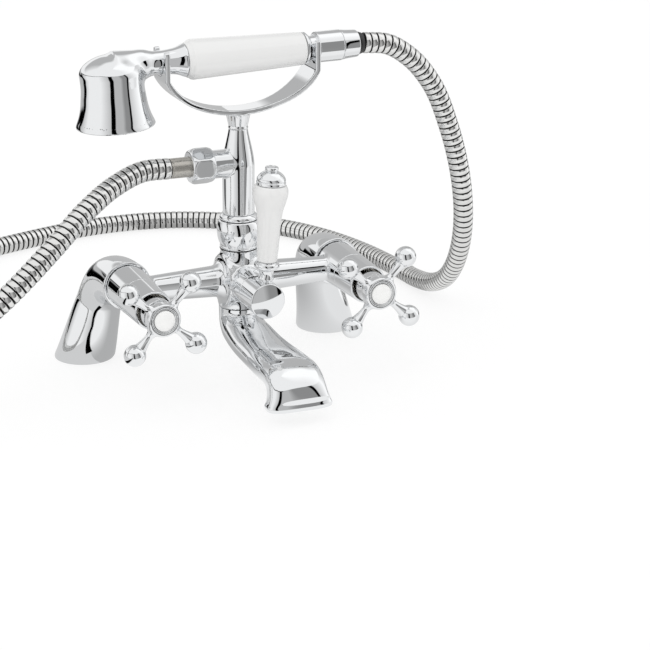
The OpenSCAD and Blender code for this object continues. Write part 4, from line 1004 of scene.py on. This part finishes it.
def spout_shape(s):
    """The spout, with the pocket in its nozzle that holds the flow straightener"""
    shares = np.array(spout_stations(s))
    scale = np.array([s.spout_reach, s.spout_top_z - SPOUT_LIP_Z, 0.3, 1, 1, 1, 1])
    rings = [spout_ring(s, station) for station in curve(shares * scale, 1.2) / scale]
    lip = rings[-1]
    middle = lip.mean(0)
    reach = lip - middle
    size = np.linalg.norm(reach, axis=1)[:, None]
    inner = middle + reach * (size - LIP_WALL) / size
    centre = np.array((0, -s.bridge_y - s.spout_reach + (s.lip_back - s.lip_front) / 2, SPOUT_LIP_Z))
    round_ring = centre + (STRAIGHTENER_R + 0.1) * reach / size * (1, 1, 0)
    rings += [mix(lip, inner, 0.12) - (0, 0, 0.25), mix(lip, inner, 0.85) - (0, 0, 0.25), inner,
              inner + (0, 0, 0.5), inner + (0, 0, 3.4), round_ring + (0, 0, 3.4),
              round_ring + (0, 0, 10)]
    return loft(rings)


# ---------------------------------------------------------------- riser

FLANGE_RISE = 9.5
FLANGE_R = 10.4
FLANGE_T = 2.6
STOCK_R = 8.6
OUTLET_LEN = 18.8
OUTLET_THREAD_R = 8.4
OUTLET_THREAD_LEN = 10.6
SEAM_H = 0.7


def make_riser(s):
    """The union nut, the ring over it and the riser with its hose outlet"""
    nut_r = box("union_nut")[1][0]
    h = s.nut_top_z - s.neck_z
    nut = outline((9, 0), (nut_r - 2.6, 0), (nut_r - 1.8, 0.5), (nut_r - 1.8, 1.9),
                  curve([(nut_r - 2.3, 2.3), (nut_r - 1.2, 4.6), (nut_r - 0.4, 7.6), (nut_r, 11),
                         (nut_r, 14.5), (nut_r - 0.5, 17.4), (nut_r - 1.1, 18.9)], 0.7),
                  (nut_r - 1.7, h), (9, h))
    piece("union_nut_shell", lathe(riser_place(s, s.neck_z), nut), "chrome", "mixer", "union_nut")
    ring_r = box("union_ring")[1][0]
    h = s.shoulder_z - s.ring_z
    ring = outline((8.7, 0), (ring_r - 0.7, 0),
                   curve([(ring_r - 0.1, 0.7), (ring_r, 1.6), (ring_r - 0.3, 2.6), (ring_r - 1, 3.5),
                          (ring_r - 1.7, h)], 0.4), (8.7, h))
    piece("riser_ring", lathe(riser_place(s, s.ring_z), ring, edge=0.25), "chrome", "mixer", "union_ring")
    # Painted shade: thin black nylon bands in the seam under the union nut and in the seam under the ring
    # stand in for the shadow in those gaps
    for name, z, seam_r in (("neck_seam_painted_shade", s.neck_z, nut_r - 1.65),
                            ("ring_seam_painted_shade", s.ring_z + 0.15, ring_r - 0.3)):
        seam_shade_band = outline((9, 0), (seam_r - 0.2, 0), (seam_r, 0.2), (seam_r, 0.5), (seam_r - 0.2, SEAM_H),
                         (9, SEAM_H))
        piece(name, lathe(riser_place(s, z - SEAM_H / 2), seam_shade_band), "black_collar", "mixer")
    r, top_r = s.riser_d / 2, s.riser_top_d / 2
    t = np.linspace(0, 1, 26)[1:]
    taper = np.stack([mix(r, top_r, 0.62 * t + 0.38 * ease(t)),
                      mix(OUTLET_Z - 1, s.riser_top_z, t ** 0.86)], 1)
    flange_z = s.neck_z + FLANGE_RISE
    pipe = outline((0, flange_z), (FLANGE_R, flange_z), (FLANGE_R, flange_z + FLANGE_T),
                   (STOCK_R, flange_z + FLANGE_T), (STOCK_R, s.shoulder_z), (r, s.shoulder_z),
                   (r, OUTLET_Z - 1), taper, (0, s.riser_top_z))
    branch = axes((0, -s.bridge_y, OUTLET_Z), (-1, 0, 0))
    thread = rod_field(branch, OUTLET_THREAD_R, OUTLET_LEN - 2, OUTLET_LEN + OUTLET_THREAD_LEN)
    field = joined(1.2, turned_field(riser_place(s), pipe, 0.3),
                   rod_field(branch, s.outlet_d / 2, 0, OUTLET_LEN))
    field = bored(BORE_EDGE, joined(0.4, field, thread),
                  rod_field(riser_place(s), RISER_WAY_R, flange_z - 5, OUTLET_Z),
                  rod_field(branch, BRIDGE_WAY_R, 0, 40))
    low, high = box("riser")
    piece("riser_pipe", skin(field, low, high, 0.6, 0.35), "chrome", "mixer", "riser")


# ---------------------------------------------------------------- cradle

def cradle_field(s):
    """The cradle: a curved strap with a forked plate at each end, on a cone"""
    a, b, t = FORK_REACH + s.strap_t / 2, CRADLE_DROP, s.strap_t
    w = a + 3
    prong_top, bed_r = 7.4, s.neck_d / 2 + FREE_GAP
    prong_r = (s.fork_w / 2 - bed_r) / 2
    base = s.riser_top_z - HANDSET_Z
    cone_h, cone_r, top_r = 10.2, 8.3, s.riser_top_d / 2
    cone = turned_field(axes((0, 0, base), (0, 0, 1)),
                        outline((0, 0), (top_r + 0.3, 0), (top_r + 0.3, 1.2), (top_r, 1.7),
                                (cone_r - 0.4, cone_h * 0.86), (cone_r, cone_h + 0.9),
                                (0, cone_h + 0.9)))

    def ellipse(x, z, wide, deep):
        z = np.minimum(z, 0)
        size = np.sqrt((x / wide) ** 2 + (z / deep) ** 2)
        steep = np.sqrt((x / wide ** 2) ** 2 + (z / deep ** 2) ** 2) / np.maximum(size, 1e-6)
        return (size - 1) / np.maximum(steep, 1e-3)

    def field(points):
        x, y, z = (points - (0, -s.bridge_y, HANDSET_Z)).T
        outer = np.maximum(ellipse(x, z, w, b), z - prong_top)
        outer = -round_min(-outer, a - np.abs(x), 0.8)
        inner = np.maximum(ellipse(x, z, w - t, b - t), np.abs(x) - a + t)
        solid = -round_min(-outer, inner, 0.8)
        half = mix(s.strap_w, s.fork_w, ease((np.abs(x) / (a + 1) - 0.35) / 0.6)) / 2
        solid = -round_min(-solid, half - np.abs(y), 1.6)
        solid = round_min(solid, cone(np.stack([x, y, z], 1)), 1.5)
        rise = np.sign(x) * FORK_REACH * math.tan(HANDSET_TILT)
        notch = np.where(z > rise, np.abs(y), np.hypot(y, z - rise)) - bed_r
        notch = np.where(np.abs(x) > a - t - 5, notch, 50)
        tip_z = prong_top + 1 - prong_r
        tip = np.hypot(np.abs(y) - bed_r - prong_r, np.maximum(z - rise - tip_z, 0)) - prong_r
        tip = np.where(z - rise > tip_z, tip, -50)
        solid = -round_min(-solid, notch, 0.9)
        return -round_min(-solid, -tip, 0.9)
    return field


def make_cradle(s):
    """The cradle"""
    low, high = box("cradle")
    piece("cradle_casting", skin(cradle_field(s), low, high, 0.7, 0.3), "chrome", "mixer", "cradle")


# ---------------------------------------------------------------- handset

HANDSET_WAY_R = 5
GRIP_BORE_R = 7
COLLAR_STEP = 3.1
COLLAR_LEN = 7.05


def make_handset(s):
    """The handset's head, ceramic grip, tail, conical nut and collar"""
    arm_r = s.neck_d / 2
    rim_r, sh_r, h = s.rose_d / 2, s.rose_shoulder_d / 2, ROSE_H
    shell = curve([(rim_r - 0.5, 2), (mix(sh_r, rim_r, 0.62), h * 0.115),
                   (mix(sh_r, rim_r, 0.27), h * 0.25), (mix(sh_r, rim_r, 0.06), h * 0.41),
                   (sh_r - 0.3, h * 0.56), (sh_r - 0.1, h * 0.69), (sh_r, h * 0.767),
                   (sh_r - 0.5, h * 0.798), (sh_r * 0.9, h * 0.848), (sh_r * 0.75, h * 0.904),
                   (sh_r * 0.55, h * 0.952), (sh_r * 0.3, h * 0.987), (0, h)], 1.2)
    bell = outline((0, 0), (rim_r - 0.4, 0), (rim_r, 0.5), shell)
    reach = ROSE_REACH + GRIP_HEAD_X
    arm = outline((0, 0), (arm_r + 2.2, 0),
                  curve([(arm_r + 1.9, sh_r * 0.6), (arm_r + 1.6, sh_r), (arm_r + 0.4, sh_r + 4),
                         (arm_r, sh_r + 8), (arm_r, 34.5), (arm_r + 0.3, reach - 10.5),
                         (arm_r + 1, reach - 6), (arm_r + 2.2, reach - 2.6),
                         (arm_r + 2.9, reach - 1.2)], 1.5),
                  (arm_r + 3, reach), (0, reach))
    place = rose_place(s)
    field = joined(6, turned_field(place, bell), turned_field(handset_place(s, -ROSE_REACH), arm))
    cavity = outline((0, -1), (rim_r - 2.1, -1), (rim_r - 2.1, 3.4), (rim_r - 4, 3.5),
                     (sh_r - 1.9, h * 0.41), (sh_r - 1.9, h - 14), (0, h - 14))
    way = rod_field(handset_place(s, -ROSE_REACH), HANDSET_WAY_R, 0, reach + 5)
    field = bored(0.5, field, turned_field(place, cavity), way)
    low, high = box("handset_head")
    piece("handset_bell", skin(field, low, high, 0.8, 0.45), "chrome", "handset", "handset_head")
    r0, r1 = s.grip_d / 2, s.grip_tail_d / 2
    grip_end = GRIP_LEN - 0.3
    grip = outline((GRIP_BORE_R, 0), (arm_r + 3.1, 0),
                   curve([(arm_r + 3.6, 0.6), (r0 - 1.1, 2.3), (r0 - 0.3, 3.3), (r0, 4.8)], 0.5),
                   (r1 + 0.1, GRIP_LEN - 2.4),
                   curve([(r1, GRIP_LEN - 1.4), (r1 - 0.3, GRIP_LEN - 0.7), (r1 - 0.9, grip_end)], 0.4),
                   (GRIP_BORE_R, grip_end))
    piece("handset_ceramic", lathe(handset_place(s, GRIP_HEAD_X + SEAT_GAP), grip, edge=0.25),
          "white_ceramic", "handset", "handset_grip")
    tail_r, step = s.tail_d / 2, TAIL_X - GRIP_TAIL_X
    tail_end = step + TAIL_LEN
    tail = outline((HANDSET_WAY_R, 0), (r1 - 0.2, 0),
                   curve([(r1, 0.5), (r1 - 0.1, 1.3), (r1 - 0.9, 2), (arm_r + 0.9, 3), (arm_r, 4)], 0.4),
                   (arm_r, step + 0.4), (tail_r - 0.3, step + 0.4), (tail_r, step + 0.9),
                   (tail_r, tail_end - 0.4), (tail_r - 0.4, tail_end), (OUTLET_THREAD_R, tail_end),
                   (OUTLET_THREAD_R, tail_end + 8), (HANDSET_WAY_R, tail_end + 8))
    piece("handset_tail_piece", lathe(handset_place(s, GRIP_TAIL_X), tail), "chrome", "handset",
          "handset_tail")
    nut_r, hose_r = tail_r - 0.3, s.hose_d / 2
    nut = outline((8.5, 0), (nut_r - 0.3, 0), (nut_r, 0.4), (nut_r - 0.5, 4),
                  (hose_r + 1.9, CONE_NUT_LEN - 0.6), (hose_r + 1.3, CONE_NUT_LEN), (6.2, CONE_NUT_LEN),
                  (6.2, 9.8), (8.5, 9.8))
    piece("hose_cone_nut", lathe(handset_place(s, CONE_NUT_X), nut), "chrome", "handset", "cone_nut")
    end_x = CONE_NUT_X + CONE_NUT_LEN - COLLAR_STEP
    collar = [(4, 0), (6, 0), (6, COLLAR_STEP), (hose_r + 0.6, COLLAR_STEP), (hose_r + 0.5, 4.6),
              (hose_r - 0.4, COLLAR_LEN), (4, COLLAR_LEN)]
    piece("hose_collar", lathe(handset_place(s, end_x), collar), "black_collar", "handset", "hose_end")


# ---------------------------------------------------------------- hose

# The loose hose's route from the ferrule to the handset, in metres. Its points are thinned and rounded
# from a curve of the hose's length that a least-squares fit made. They are not chosen by hand.
HOSE_ROUTE = [
    (-0.048, -0.065, 0.145), (-0.066, -0.066, 0.145), (-0.087, -0.072, 0.139), (-0.109, -0.082, 0.128),
    (-0.134, -0.094, 0.110), (-0.173, -0.106, 0.081), (-0.214, -0.108, 0.053), (-0.242, -0.101, 0.036),
    (-0.269, -0.088, 0.022), (-0.294, -0.068, 0.012), (-0.315, -0.042, 0.008), (-0.331, -0.005, 0.007),
    (-0.337, 0.036, 0.007), (-0.331, 0.077, 0.007), (-0.314, 0.114, 0.007), (-0.288, 0.146, 0.007),
    (-0.255, 0.174, 0.007), (-0.210, 0.200, 0.007), (-0.163, 0.219, 0.007), (-0.117, 0.236, 0.007),
    (-0.071, 0.254, 0.007), (-0.023, 0.270, 0.007), (0.014, 0.276, 0.007), (0.053, 0.274, 0.007),
    (0.091, 0.261, 0.007), (0.122, 0.240, 0.007), (0.147, 0.212, 0.007), (0.165, 0.178, 0.007),
    (0.177, 0.139, 0.007), (0.184, 0.097, 0.007), (0.187, 0.060, 0.007), (0.187, 0.028, 0.012),
    (0.185, -0.002, 0.025), (0.181, -0.029, 0.050), (0.175, -0.048, 0.084), (0.167, -0.057, 0.119),
    (0.156, -0.060, 0.154), (0.141, -0.062, 0.186), (0.123, -0.064, 0.206), (0.106, -0.065, 0.216),
    (0.0881, -0.065, 0.2182)]
RIB_SIDES = 28
RIB_GROOVE = 0.55
# Steps of each rib that carry the painted groove shade
GROOVE_SHADE_STEPS = (0, 1, 6, 7)


def make_hose(s):
    """The ribbed hose: steel bands, with painted shade on the dark grooves between them"""
    line = curve(np.array(HOSE_ROUTE) / MM, 1.0)
    gone = np.concatenate([[0], np.cumsum(np.linalg.norm(np.diff(line, axis=0), axis=1))])
    count = round(gone[-1] / s.hose_pitch)
    pitch = gone[-1] / count
    r = s.hose_d / 2
    deep = r - RIB_GROOVE
    across = [(0.0, deep), (0.12, deep), (0.17, r - 0.14), (0.27, r), (0.58, r), (0.82, r - 0.08),
              (0.91, r - 0.26), (0.96, deep)]
    stations = [((k + share) * pitch, radius) for k in range(count) for share, radius in across]
    stations.append((gone[-1], deep))
    turn = 2 * math.pi * np.arange(RIB_SIDES) / RIB_SIDES
    line[:, 2] = np.maximum(line[:, 2], r + 0.1)
    rings = []
    for at, radius in stations:
        centre, ahead, behind = (np.array([np.interp(place, gone, line[:, axis]) for axis in range(3)])
                                 for place in (at, at + 0.8, at - 0.8))
        run = (ahead - behind) / np.linalg.norm(ahead - behind)
        side = np.cross((0, 0, 1), run)
        side /= np.linalg.norm(side)
        rings.append(centre + radius * (np.outer(np.cos(turn), side)
                                        + np.outer(np.sin(turn), np.cross(run, side))))
    hose = piece("ribbed_hose", loft(rings), "hose_steel", None, "shower_hose")
    hose.data.materials.append(FINISHES["groove_painted_shade"]("groove_painted_shade"))
    # Painted shade: the faces in and beside each groove take the near-black groove finish
    dark = np.zeros(len(hose.data.polygons), int)
    for k in range(len(stations) - 1):
        if k % len(across) in GROOVE_SHADE_STEPS:
            dark[k * RIB_SIDES:(k + 1) * RIB_SIDES] = 1
    hose.data.polygons.foreach_set("material_index", dark)
    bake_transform(hose)
    [Vector(p) for p in HOSE_ROUTE]


def make_outlet_fittings(s):
    """The hexagonal hose nut and the satin nickel ferrule"""
    low, high = box("hose_nut")
    place = axes((high[0], -s.bridge_y, OUTLET_Z), (-1, 0, 0), (0, 0, 1))
    flat_r, depth = (high[1] - low[1]) / 2, high[0] - low[0]
    corner = flat_r / math.cos(math.radians(30))
    barrel = turned_field(place, outline((0, 0), (flat_r - 0.5, 0),
                                         curve([(flat_r + 0.2, 0.6), (corner - 0.5, 3.2),
                                                (corner - 0.3, depth / 2), (corner - 0.5, depth - 3.2),
                                                (flat_r - 0.2, depth - 0.6)], 0.6),
                                         (flat_r - 0.9, depth), (0, depth)))
    away = np.linalg.inv(place)
    bore = rod_field(place, s.hose_d / 2 - 0.3, -5, depth + 5)

    def past_flats(points):
        local = moved(away, points)
        turned = [abs(local[:, 1] * math.cos(a) + local[:, 0] * math.sin(a))
                  for a in np.radians((0, 60, 120))]
        return flat_r - np.max(turned, axis=0)
    field = bored(BORE_EDGE, bored(0.5, barrel, past_flats), bore)
    piece("hose_hex_nut", skin(field, low, high, 0.45, 0.22), "chrome", "mixer", "hose_nut")
    low, high = box("hose_ferrule")
    r, long = (high[1] - low[1]) / 2, high[0] - low[0]
    ferrule = outline((r - 0.8, 0), (r - 0.3, 0), (r, 0.3), (r, 0.9), (r - 0.25, 1.1), (r - 0.25, 1.5),
                      (r, 1.7), (r, long), (r - 0.8, long))
    place = axes((low[0], -s.bridge_y, OUTLET_Z), (1, 0, 0))
    piece("hose_crimp", lathe(place, ferrule, edge=0.15), "satin_nickel", "mixer", "hose_ferrule")


# ---------------------------------------------------------------- studio

CAMERA_AZIMUTH = math.radians(-22.858)
CAMERA_ELEVATION = math.radians(18.949)
CAMERA_ROLL = math.radians(0.439)
CAMERA_PLACE = (83.256, 9.932, 1553.647)
FOCAL_PIXELS = 2200
IMAGE_PIXELS = 650
FLOOR_HALF = 6.0
FLOOR_Z = -0.0002
CARDS_Z = -0.0005


def make_camera():
    """A camera 1.55 m away, turned 23 degrees to the hot side and 19 degrees up"""
    azimuth, elevation, roll = CAMERA_AZIMUTH, CAMERA_ELEVATION, CAMERA_ROLL
    back = Vector((math.sin(azimuth) * math.cos(elevation), -math.cos(azimuth) * math.cos(elevation),
                   math.sin(elevation)))
    right = Vector((math.cos(azimuth), math.sin(azimuth), 0))
    up = back.cross(right)
    turn = Matrix((right * math.cos(roll) + up * math.sin(roll),
                   up * math.cos(roll) - right * math.sin(roll), back)).transposed()
    data = bpy.data.cameras.new("studio_camera")
    data.sensor_width = 36
    data.lens = FOCAL_PIXELS / IMAGE_PIXELS * data.sensor_width
    data.clip_end = 50
    camera = added("studio_camera", data)
    place = turn.to_4x4()
    place.translation = turn @ (Vector(CAMERA_PLACE) * MM)
    camera.matrix_world = place
    bpy.context.scene.camera = camera


def around(*stops):
    """Ramp stops from angles in degrees, -180 to 180, and levels"""
    return [(angle / 360 + 0.5, level) for angle, level in stops]


def make_world():
    """A white studio: for reflections, a belt of white and grey panels with black gaps between them"""
    world = bpy.data.worlds.new("studio_light")
    bpy.context.scene.world = world
    world.use_nodes = True
    nodes = Nodes(world.node_tree)
    direction = nodes.add("TexCoord").outputs["Generated"]
    turned = nodes.add("VectorRotate", direction, rotation_type="Z_AXIS")
    turned.inputs["Angle"].default_value = -CAMERA_AZIMUTH
    x, y, z = nodes.add("SeparateXYZ", turned).outputs
    height = nodes.math("MULTIPLY_ADD", nodes.math("ARCSINE", z), 1 / (2 * math.pi), 0.5)
    angle = nodes.math("ARCTAN2", x, nodes.math("MULTIPLY", y, -1))
    azimuth = nodes.math("MULTIPLY_ADD", angle, 1 / (2 * math.pi), 0.5)

    # The panels lean a little, and black gaps lie between them
    leaning = nodes.math("ADD", azimuth, nodes.math("MULTIPLY_ADD", height, 0.18, -0.09))
    belt = nodes.ramp(leaning, *around((-180, 0.6), (-120, 0.5), (-90, 1.0), (-40, 1.0), (-5.5, 0.6),
                                       (-4.5, 0.0), (9, 0.0), (10, 0.55), (34, 0.55), (44, 0.3),
                                       (58, 0.3), (59, 0.0), (65, 0.0), (66, 0.7), (110, 1.2),
                                       (135, 0.8), (180, 0.6)))

    # A black flag stands on the left and bends away to the back
    bent = nodes.math("MAXIMUM", nodes.math("ADD", height, -0.5 + 12 / 360), 0.0)
    flag = nodes.ramp(nodes.math("ADD", azimuth, bent),
                      *around((-120.5, 0.0), (-119.5, 1.0), (-103.5, 1.0), (-102.5, 0.0)))
    flag_reach = nodes.ramp(height, *around((-25, 0.0), (-24, 1.0), (4, 1.0), (6, 0.0)))
    back = nodes.ramp(azimuth, *around((-152, 0.8), (-150, 1.0), (-124, 1.0), (-122, 0.0),
                                       (122, 0.0), (128, 0.9), (158, 0.9), (164, 0.0)))
    back_line = nodes.ramp(height, *around((-10.5, 0.0), (-9.5, 1.0), (-1.5, 1.0), (0, 0.0)))
    dark = nodes.math("MAXIMUM", nodes.math("MULTIPLY", flag, flag_reach),
                      nodes.math("MULTIPLY", back, back_line))
    belt = nodes.math("MULTIPLY", belt, nodes.math("SUBTRACT", 1.0, dark))

    # The ceiling's edge runs down to the left as a thin dark line
    fall = nodes.math("MULTIPLY", nodes.math("MAXIMUM", nodes.math("SUBTRACT", 0.4, azimuth), 0.0), 0.3)
    raised = nodes.math("ADD", height, fall)
    ceiling = nodes.ramp(raised, *around((36.5, 0.0), (37.5, 1.0)))
    outside = nodes.mixed(nodes.ramp(azimuth, *around((60, 0.0), (100, 1.0), (150, 1.0), (175, 0.0))),
                          1.0, 1.2)
    level = nodes.mixed(ceiling, belt, outside)
    line = nodes.ramp(raised, *around((34.5, 0.0), (35, 0.9), (37, 0.9), (37.5, 0.0)))
    on_left = nodes.ramp(azimuth, *around((-140, 0.0), (-130, 1.0), (9, 1.0), (10, 0.15), (60, 0.0)))
    level = nodes.math("MULTIPLY", level,
                       nodes.math("SUBTRACT", 1.0, nodes.math("MULTIPLY", line, on_left)))
    wall = nodes.ramp(azimuth, *around((-140, 1.0), (-112, 0.0), (132, 0.0), (156, 1.0)))
    wall_reach = nodes.ramp(height, *around((20, 0.0), (22, 1.0), (54, 1.0), (62, 0.0)))
    level = nodes.mixed(nodes.math("MULTIPLY", wall, wall_reach), level, 0.52)
    below = nodes.ramp(height, *around((-90, 0.4), (-45, 0.45), (-28, 0.55)))
    level = nodes.mixed(nodes.ramp(height, *around((-29, 0.0), (-27, 1.0))), below, level)

    light = nodes.add("LightPath")
    plain = nodes.math("MAXIMUM", light.outputs["Is Camera Ray"], light.outputs["Is Diffuse Ray"])
    nodes.add("OutputWorld", nodes.add("Background", nodes.mixed(plain, level, 1.0)))


def make_floor():
    """A plain white floor that keeps a light shadow and lets reflections see the studio below it"""
    mesh = bpy.data.meshes.new("studio_floor")
    half = FLOOR_HALF
    mesh.from_pydata([(-half, -half, 0), (half, -half, 0), (half, half, 0), (-half, half, 0)], [],
                     [(0, 1, 2, 3)])
    floor = added("studio_floor", mesh)
    floor.location.z = FLOOR_Z
    material, nodes = new_material("studio_floor")
    shadow = nodes.add("BsdfDiffuse", (1, 1, 1, 1))
    glow = nodes.add("Emission", (1, 1, 1, 1), 1.0)
    soft = nodes.add("MixShader", 0.8, shadow, glow)
    clear = nodes.add("BsdfTransparent")
    light = nodes.add("LightPath")
    nodes.add("OutputMaterial", nodes.add("MixShader", light.outputs["Is Glossy Ray"], soft, clear))
    mesh.materials.append(material)


def make_cards():
    """White cards on the table that only reflections see, a black strip that runs towards the camera,
    and a low grey card behind the mixer"""
    front, back, far_back = -0.30, 0.10, 0.35
    left, gap, right = -0.36, -0.07, 0.9
    points = [(left, front, 0), (gap, front, 0), (gap, far_back, 0), (left, far_back, 0),
              (right, front, 0), (right, back, 0), (gap, back, 0)]
    strip = [(-0.080, -0.08, 0.0002), (-0.140, -0.30, 0.0002), (-0.165, -0.45, 0.0002),
             (-0.100, -0.45, 0.0002), (-0.088, -0.30, 0.0002), (-0.066, -0.08, 0.0002)]
    behind = [(-0.24, 0.40, 0.01), (0.50, 0.40, 0.01), (0.50, 0.40, 0.25), (-0.24, 0.40, 0.25)]
    mesh = bpy.data.meshes.new("studio_cards")
    mesh.from_pydata(points + behind + strip, [],
                     [(0, 1, 2, 3), (1, 4, 5, 6), (7, 8, 9, 10), (11, 12, 13, 14, 15, 16)])
    cards = added("studio_cards", mesh)
    cards.rotation_euler.z = CAMERA_AZIMUTH
    cards.location.z = CARDS_Z
    for kind in ("camera", "diffuse", "transmission", "shadow", "volume_scatter"):
        setattr(cards, "visible_" + kind, False)
    material, nodes = new_material("studio_cards")
    x, y, z = nodes.add("SeparateXYZ", nodes.add("TexCoord").outputs["Object"]).outputs
    # Painted shadow: next to and under the mixer the table card glows only 0.5 to 0.9, standing in for the
    # mixer's shadow on the table; towards the camera it glows at 1.0
    across = nodes.add("MapRange", x, 0.0, 0.12, 0.5, 0.9)
    forward = nodes.add("MapRange", nodes.math("MULTIPLY", y, -1), 0.06, 0.12, 0.0, 1.0)
    lit = nodes.mixed(forward, across, 1.0)
    level = nodes.mixed(nodes.math("GREATER_THAN", x, gap), 0.72, lit)
    level = nodes.mixed(nodes.math("GREATER_THAN", z, 0.005), level, 0.56)
    nodes.add("OutputMaterial", nodes.add("Emission", level, 1.0))
    mesh.materials.append(material)
    black, nodes = new_material("studio_black_strip")
    nodes.add("OutputMaterial", nodes.add("Emission", (0, 0, 0, 1), 1.0))
    mesh.materials.append(black)
    mesh.polygons[3].material_index = 1


def make_light():
    """A soft key light that rounds the ceramic"""
    data = bpy.data.lights.new("studio_key", "AREA")
    data.shape = "RECTANGLE"
    data.size, data.size_y = 1.2, 1.2
    data.energy = 6
    key = added("studio_key", data)
    key.location = (-0.9, -1.1, 1.9)
    aim = Vector((0, -0.05, 0.1)) - key.location
    key.rotation_euler = aim.to_track_quat("-Z", "Y").to_euler()
    key.visible_glossy = False


# ---------------------------------------------------------------- operators

class MIXER_OT_camera(bpy.types.Operator):
    """Add the studio camera"""
    bl_idname = "mixer.camera"
    bl_label = "Camera"

    def execute(self, context):
        make_camera()
        return {"FINISHED"}


class MIXER_OT_hose(bpy.types.Operator):
    """Add the ribbed hose"""
    bl_idname = "mixer.hose"
    bl_label = "Hose"

    def execute(self, context):
        make_hose(sizes())
        return {"FINISHED"}


class MIXER_OT_outlet_fittings(bpy.types.Operator):
    """Add the hose nut and the ferrule"""
    bl_idname = "mixer.outlet_fittings"
    bl_label = "Hose Fittings"

    def execute(self, context):
        make_outlet_fittings(sizes())
        return {"FINISHED"}


class MIXER_OT_legs(bpy.types.Operator):
    """Add both legs"""
    bl_idname = "mixer.legs"
    bl_label = "Legs"

    def execute(self, context):
        make_legs(sizes())
        return {"FINISHED"}


class MIXER_OT_body(bpy.types.Operator):
    """Add the body and the shrouds"""
    bl_idname = "mixer.body"
    bl_label = "Body"

    def execute(self, context):
        s = sizes()
        make_body(s)
        make_shrouds(s)
        return {"FINISHED"}


class MIXER_OT_handles(bpy.types.Operator):
    """Add both cross handles"""
    bl_idname = "mixer.handles"
    bl_label = "Cross Handles"

    def execute(self, context):
        make_handles(sizes())
        return {"FINISHED"}


class MIXER_OT_diverter(bpy.types.Operator):
    """Add the diverter cap and its lever"""
    bl_idname = "mixer.diverter"
    bl_label = "Diverter"

    def execute(self, context):
        make_diverter(sizes())
        return {"FINISHED"}


class MIXER_OT_spout(bpy.types.Operator):
    """Add the spout"""
    bl_idname = "mixer.spout"
    bl_label = "Spout"

    def execute(self, context):
        piece("spout_casting", spout_shape(sizes()), "chrome", "mixer", "spout")
        return {"FINISHED"}


class MIXER_OT_riser(bpy.types.Operator):
    """Add the union nut, its ring and the riser"""
    bl_idname = "mixer.riser"
    bl_label = "Riser"

    def execute(self, context):
        make_riser(sizes())
        return {"FINISHED"}


class MIXER_OT_cradle(bpy.types.Operator):
    """Add the cradle"""
    bl_idname = "mixer.cradle"
    bl_label = "Cradle"

    def execute(self, context):
        make_cradle(sizes())
        return {"FINISHED"}


class MIXER_OT_handset(bpy.types.Operator):
    """Add the handset"""
    bl_idname = "mixer.handset"
    bl_label = "Handset"

    def execute(self, context):
        make_handset(sizes())
        return {"FINISHED"}


class MIXER_OT_finishes(bpy.types.Operator):
    """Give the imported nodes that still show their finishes"""
    bl_idname = "mixer.finishes"
    bl_label = "Finishes"

    def execute(self, context):
        finish_nodes()
        return {"FINISHED"}


class MIXER_OT_stage(bpy.types.Operator):
    """Add the studio: world, floor, cards and key light"""
    bl_idname = "mixer.stage"
    bl_label = "Stage"

    def execute(self, context):
        make_world()
        make_floor()
        make_cards()
        make_light()
        context.scene.view_settings.view_transform = "Standard"
        return {"FINISHED"}


STEPS = ("camera", "hose", "outlet_fittings", "legs", "body", "handles", "diverter", "spout", "riser",
         "cradle", "handset", "finishes", "stage")


class MIXER_PT_panel(bpy.types.Panel):
    """Lists the mixer's steps, sizes and colours"""
    bl_idname = "MIXER_PT_panel"
    bl_label = "Bath Shower Mixer"
    bl_space_type = "VIEW_3D"
    bl_region_type = "UI"
    bl_category = "Mixer"

    def draw(self, context):
        for step in STEPS:
            self.layout.operator("mixer." + step)
        for group in (context.scene.mixer_sizes, context.scene.mixer_looks):
            for key in group.__annotations__:
                self.layout.prop(group, key)


CLASSES = (MixerSizes, MixerLooks, MIXER_OT_camera, MIXER_OT_hose, MIXER_OT_outlet_fittings, MIXER_OT_legs,
           MIXER_OT_body, MIXER_OT_handles, MIXER_OT_diverter, MIXER_OT_spout, MIXER_OT_riser,
           MIXER_OT_cradle, MIXER_OT_handset, MIXER_OT_finishes, MIXER_OT_stage, MIXER_PT_panel)


def register():
    """Adds the mixer's classes and settings"""
    for c in CLASSES:
        bpy.utils.register_class(c)
    bpy.types.Scene.mixer_sizes = bpy.props.PointerProperty(type=MixerSizes)
    bpy.types.Scene.mixer_looks = bpy.props.PointerProperty(type=MixerLooks)


def unregister():
    """Takes them away"""
    del bpy.types.Scene.mixer_sizes
    del bpy.types.Scene.mixer_looks
    for c in reversed(CLASSES):
        bpy.utils.unregister_class(c)


def main():
    """Makes the whole mixer"""
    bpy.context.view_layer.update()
    register()
    for step in STEPS:
        getattr(bpy.ops.mixer, step)()


if __name__ == "__main__":
    main()
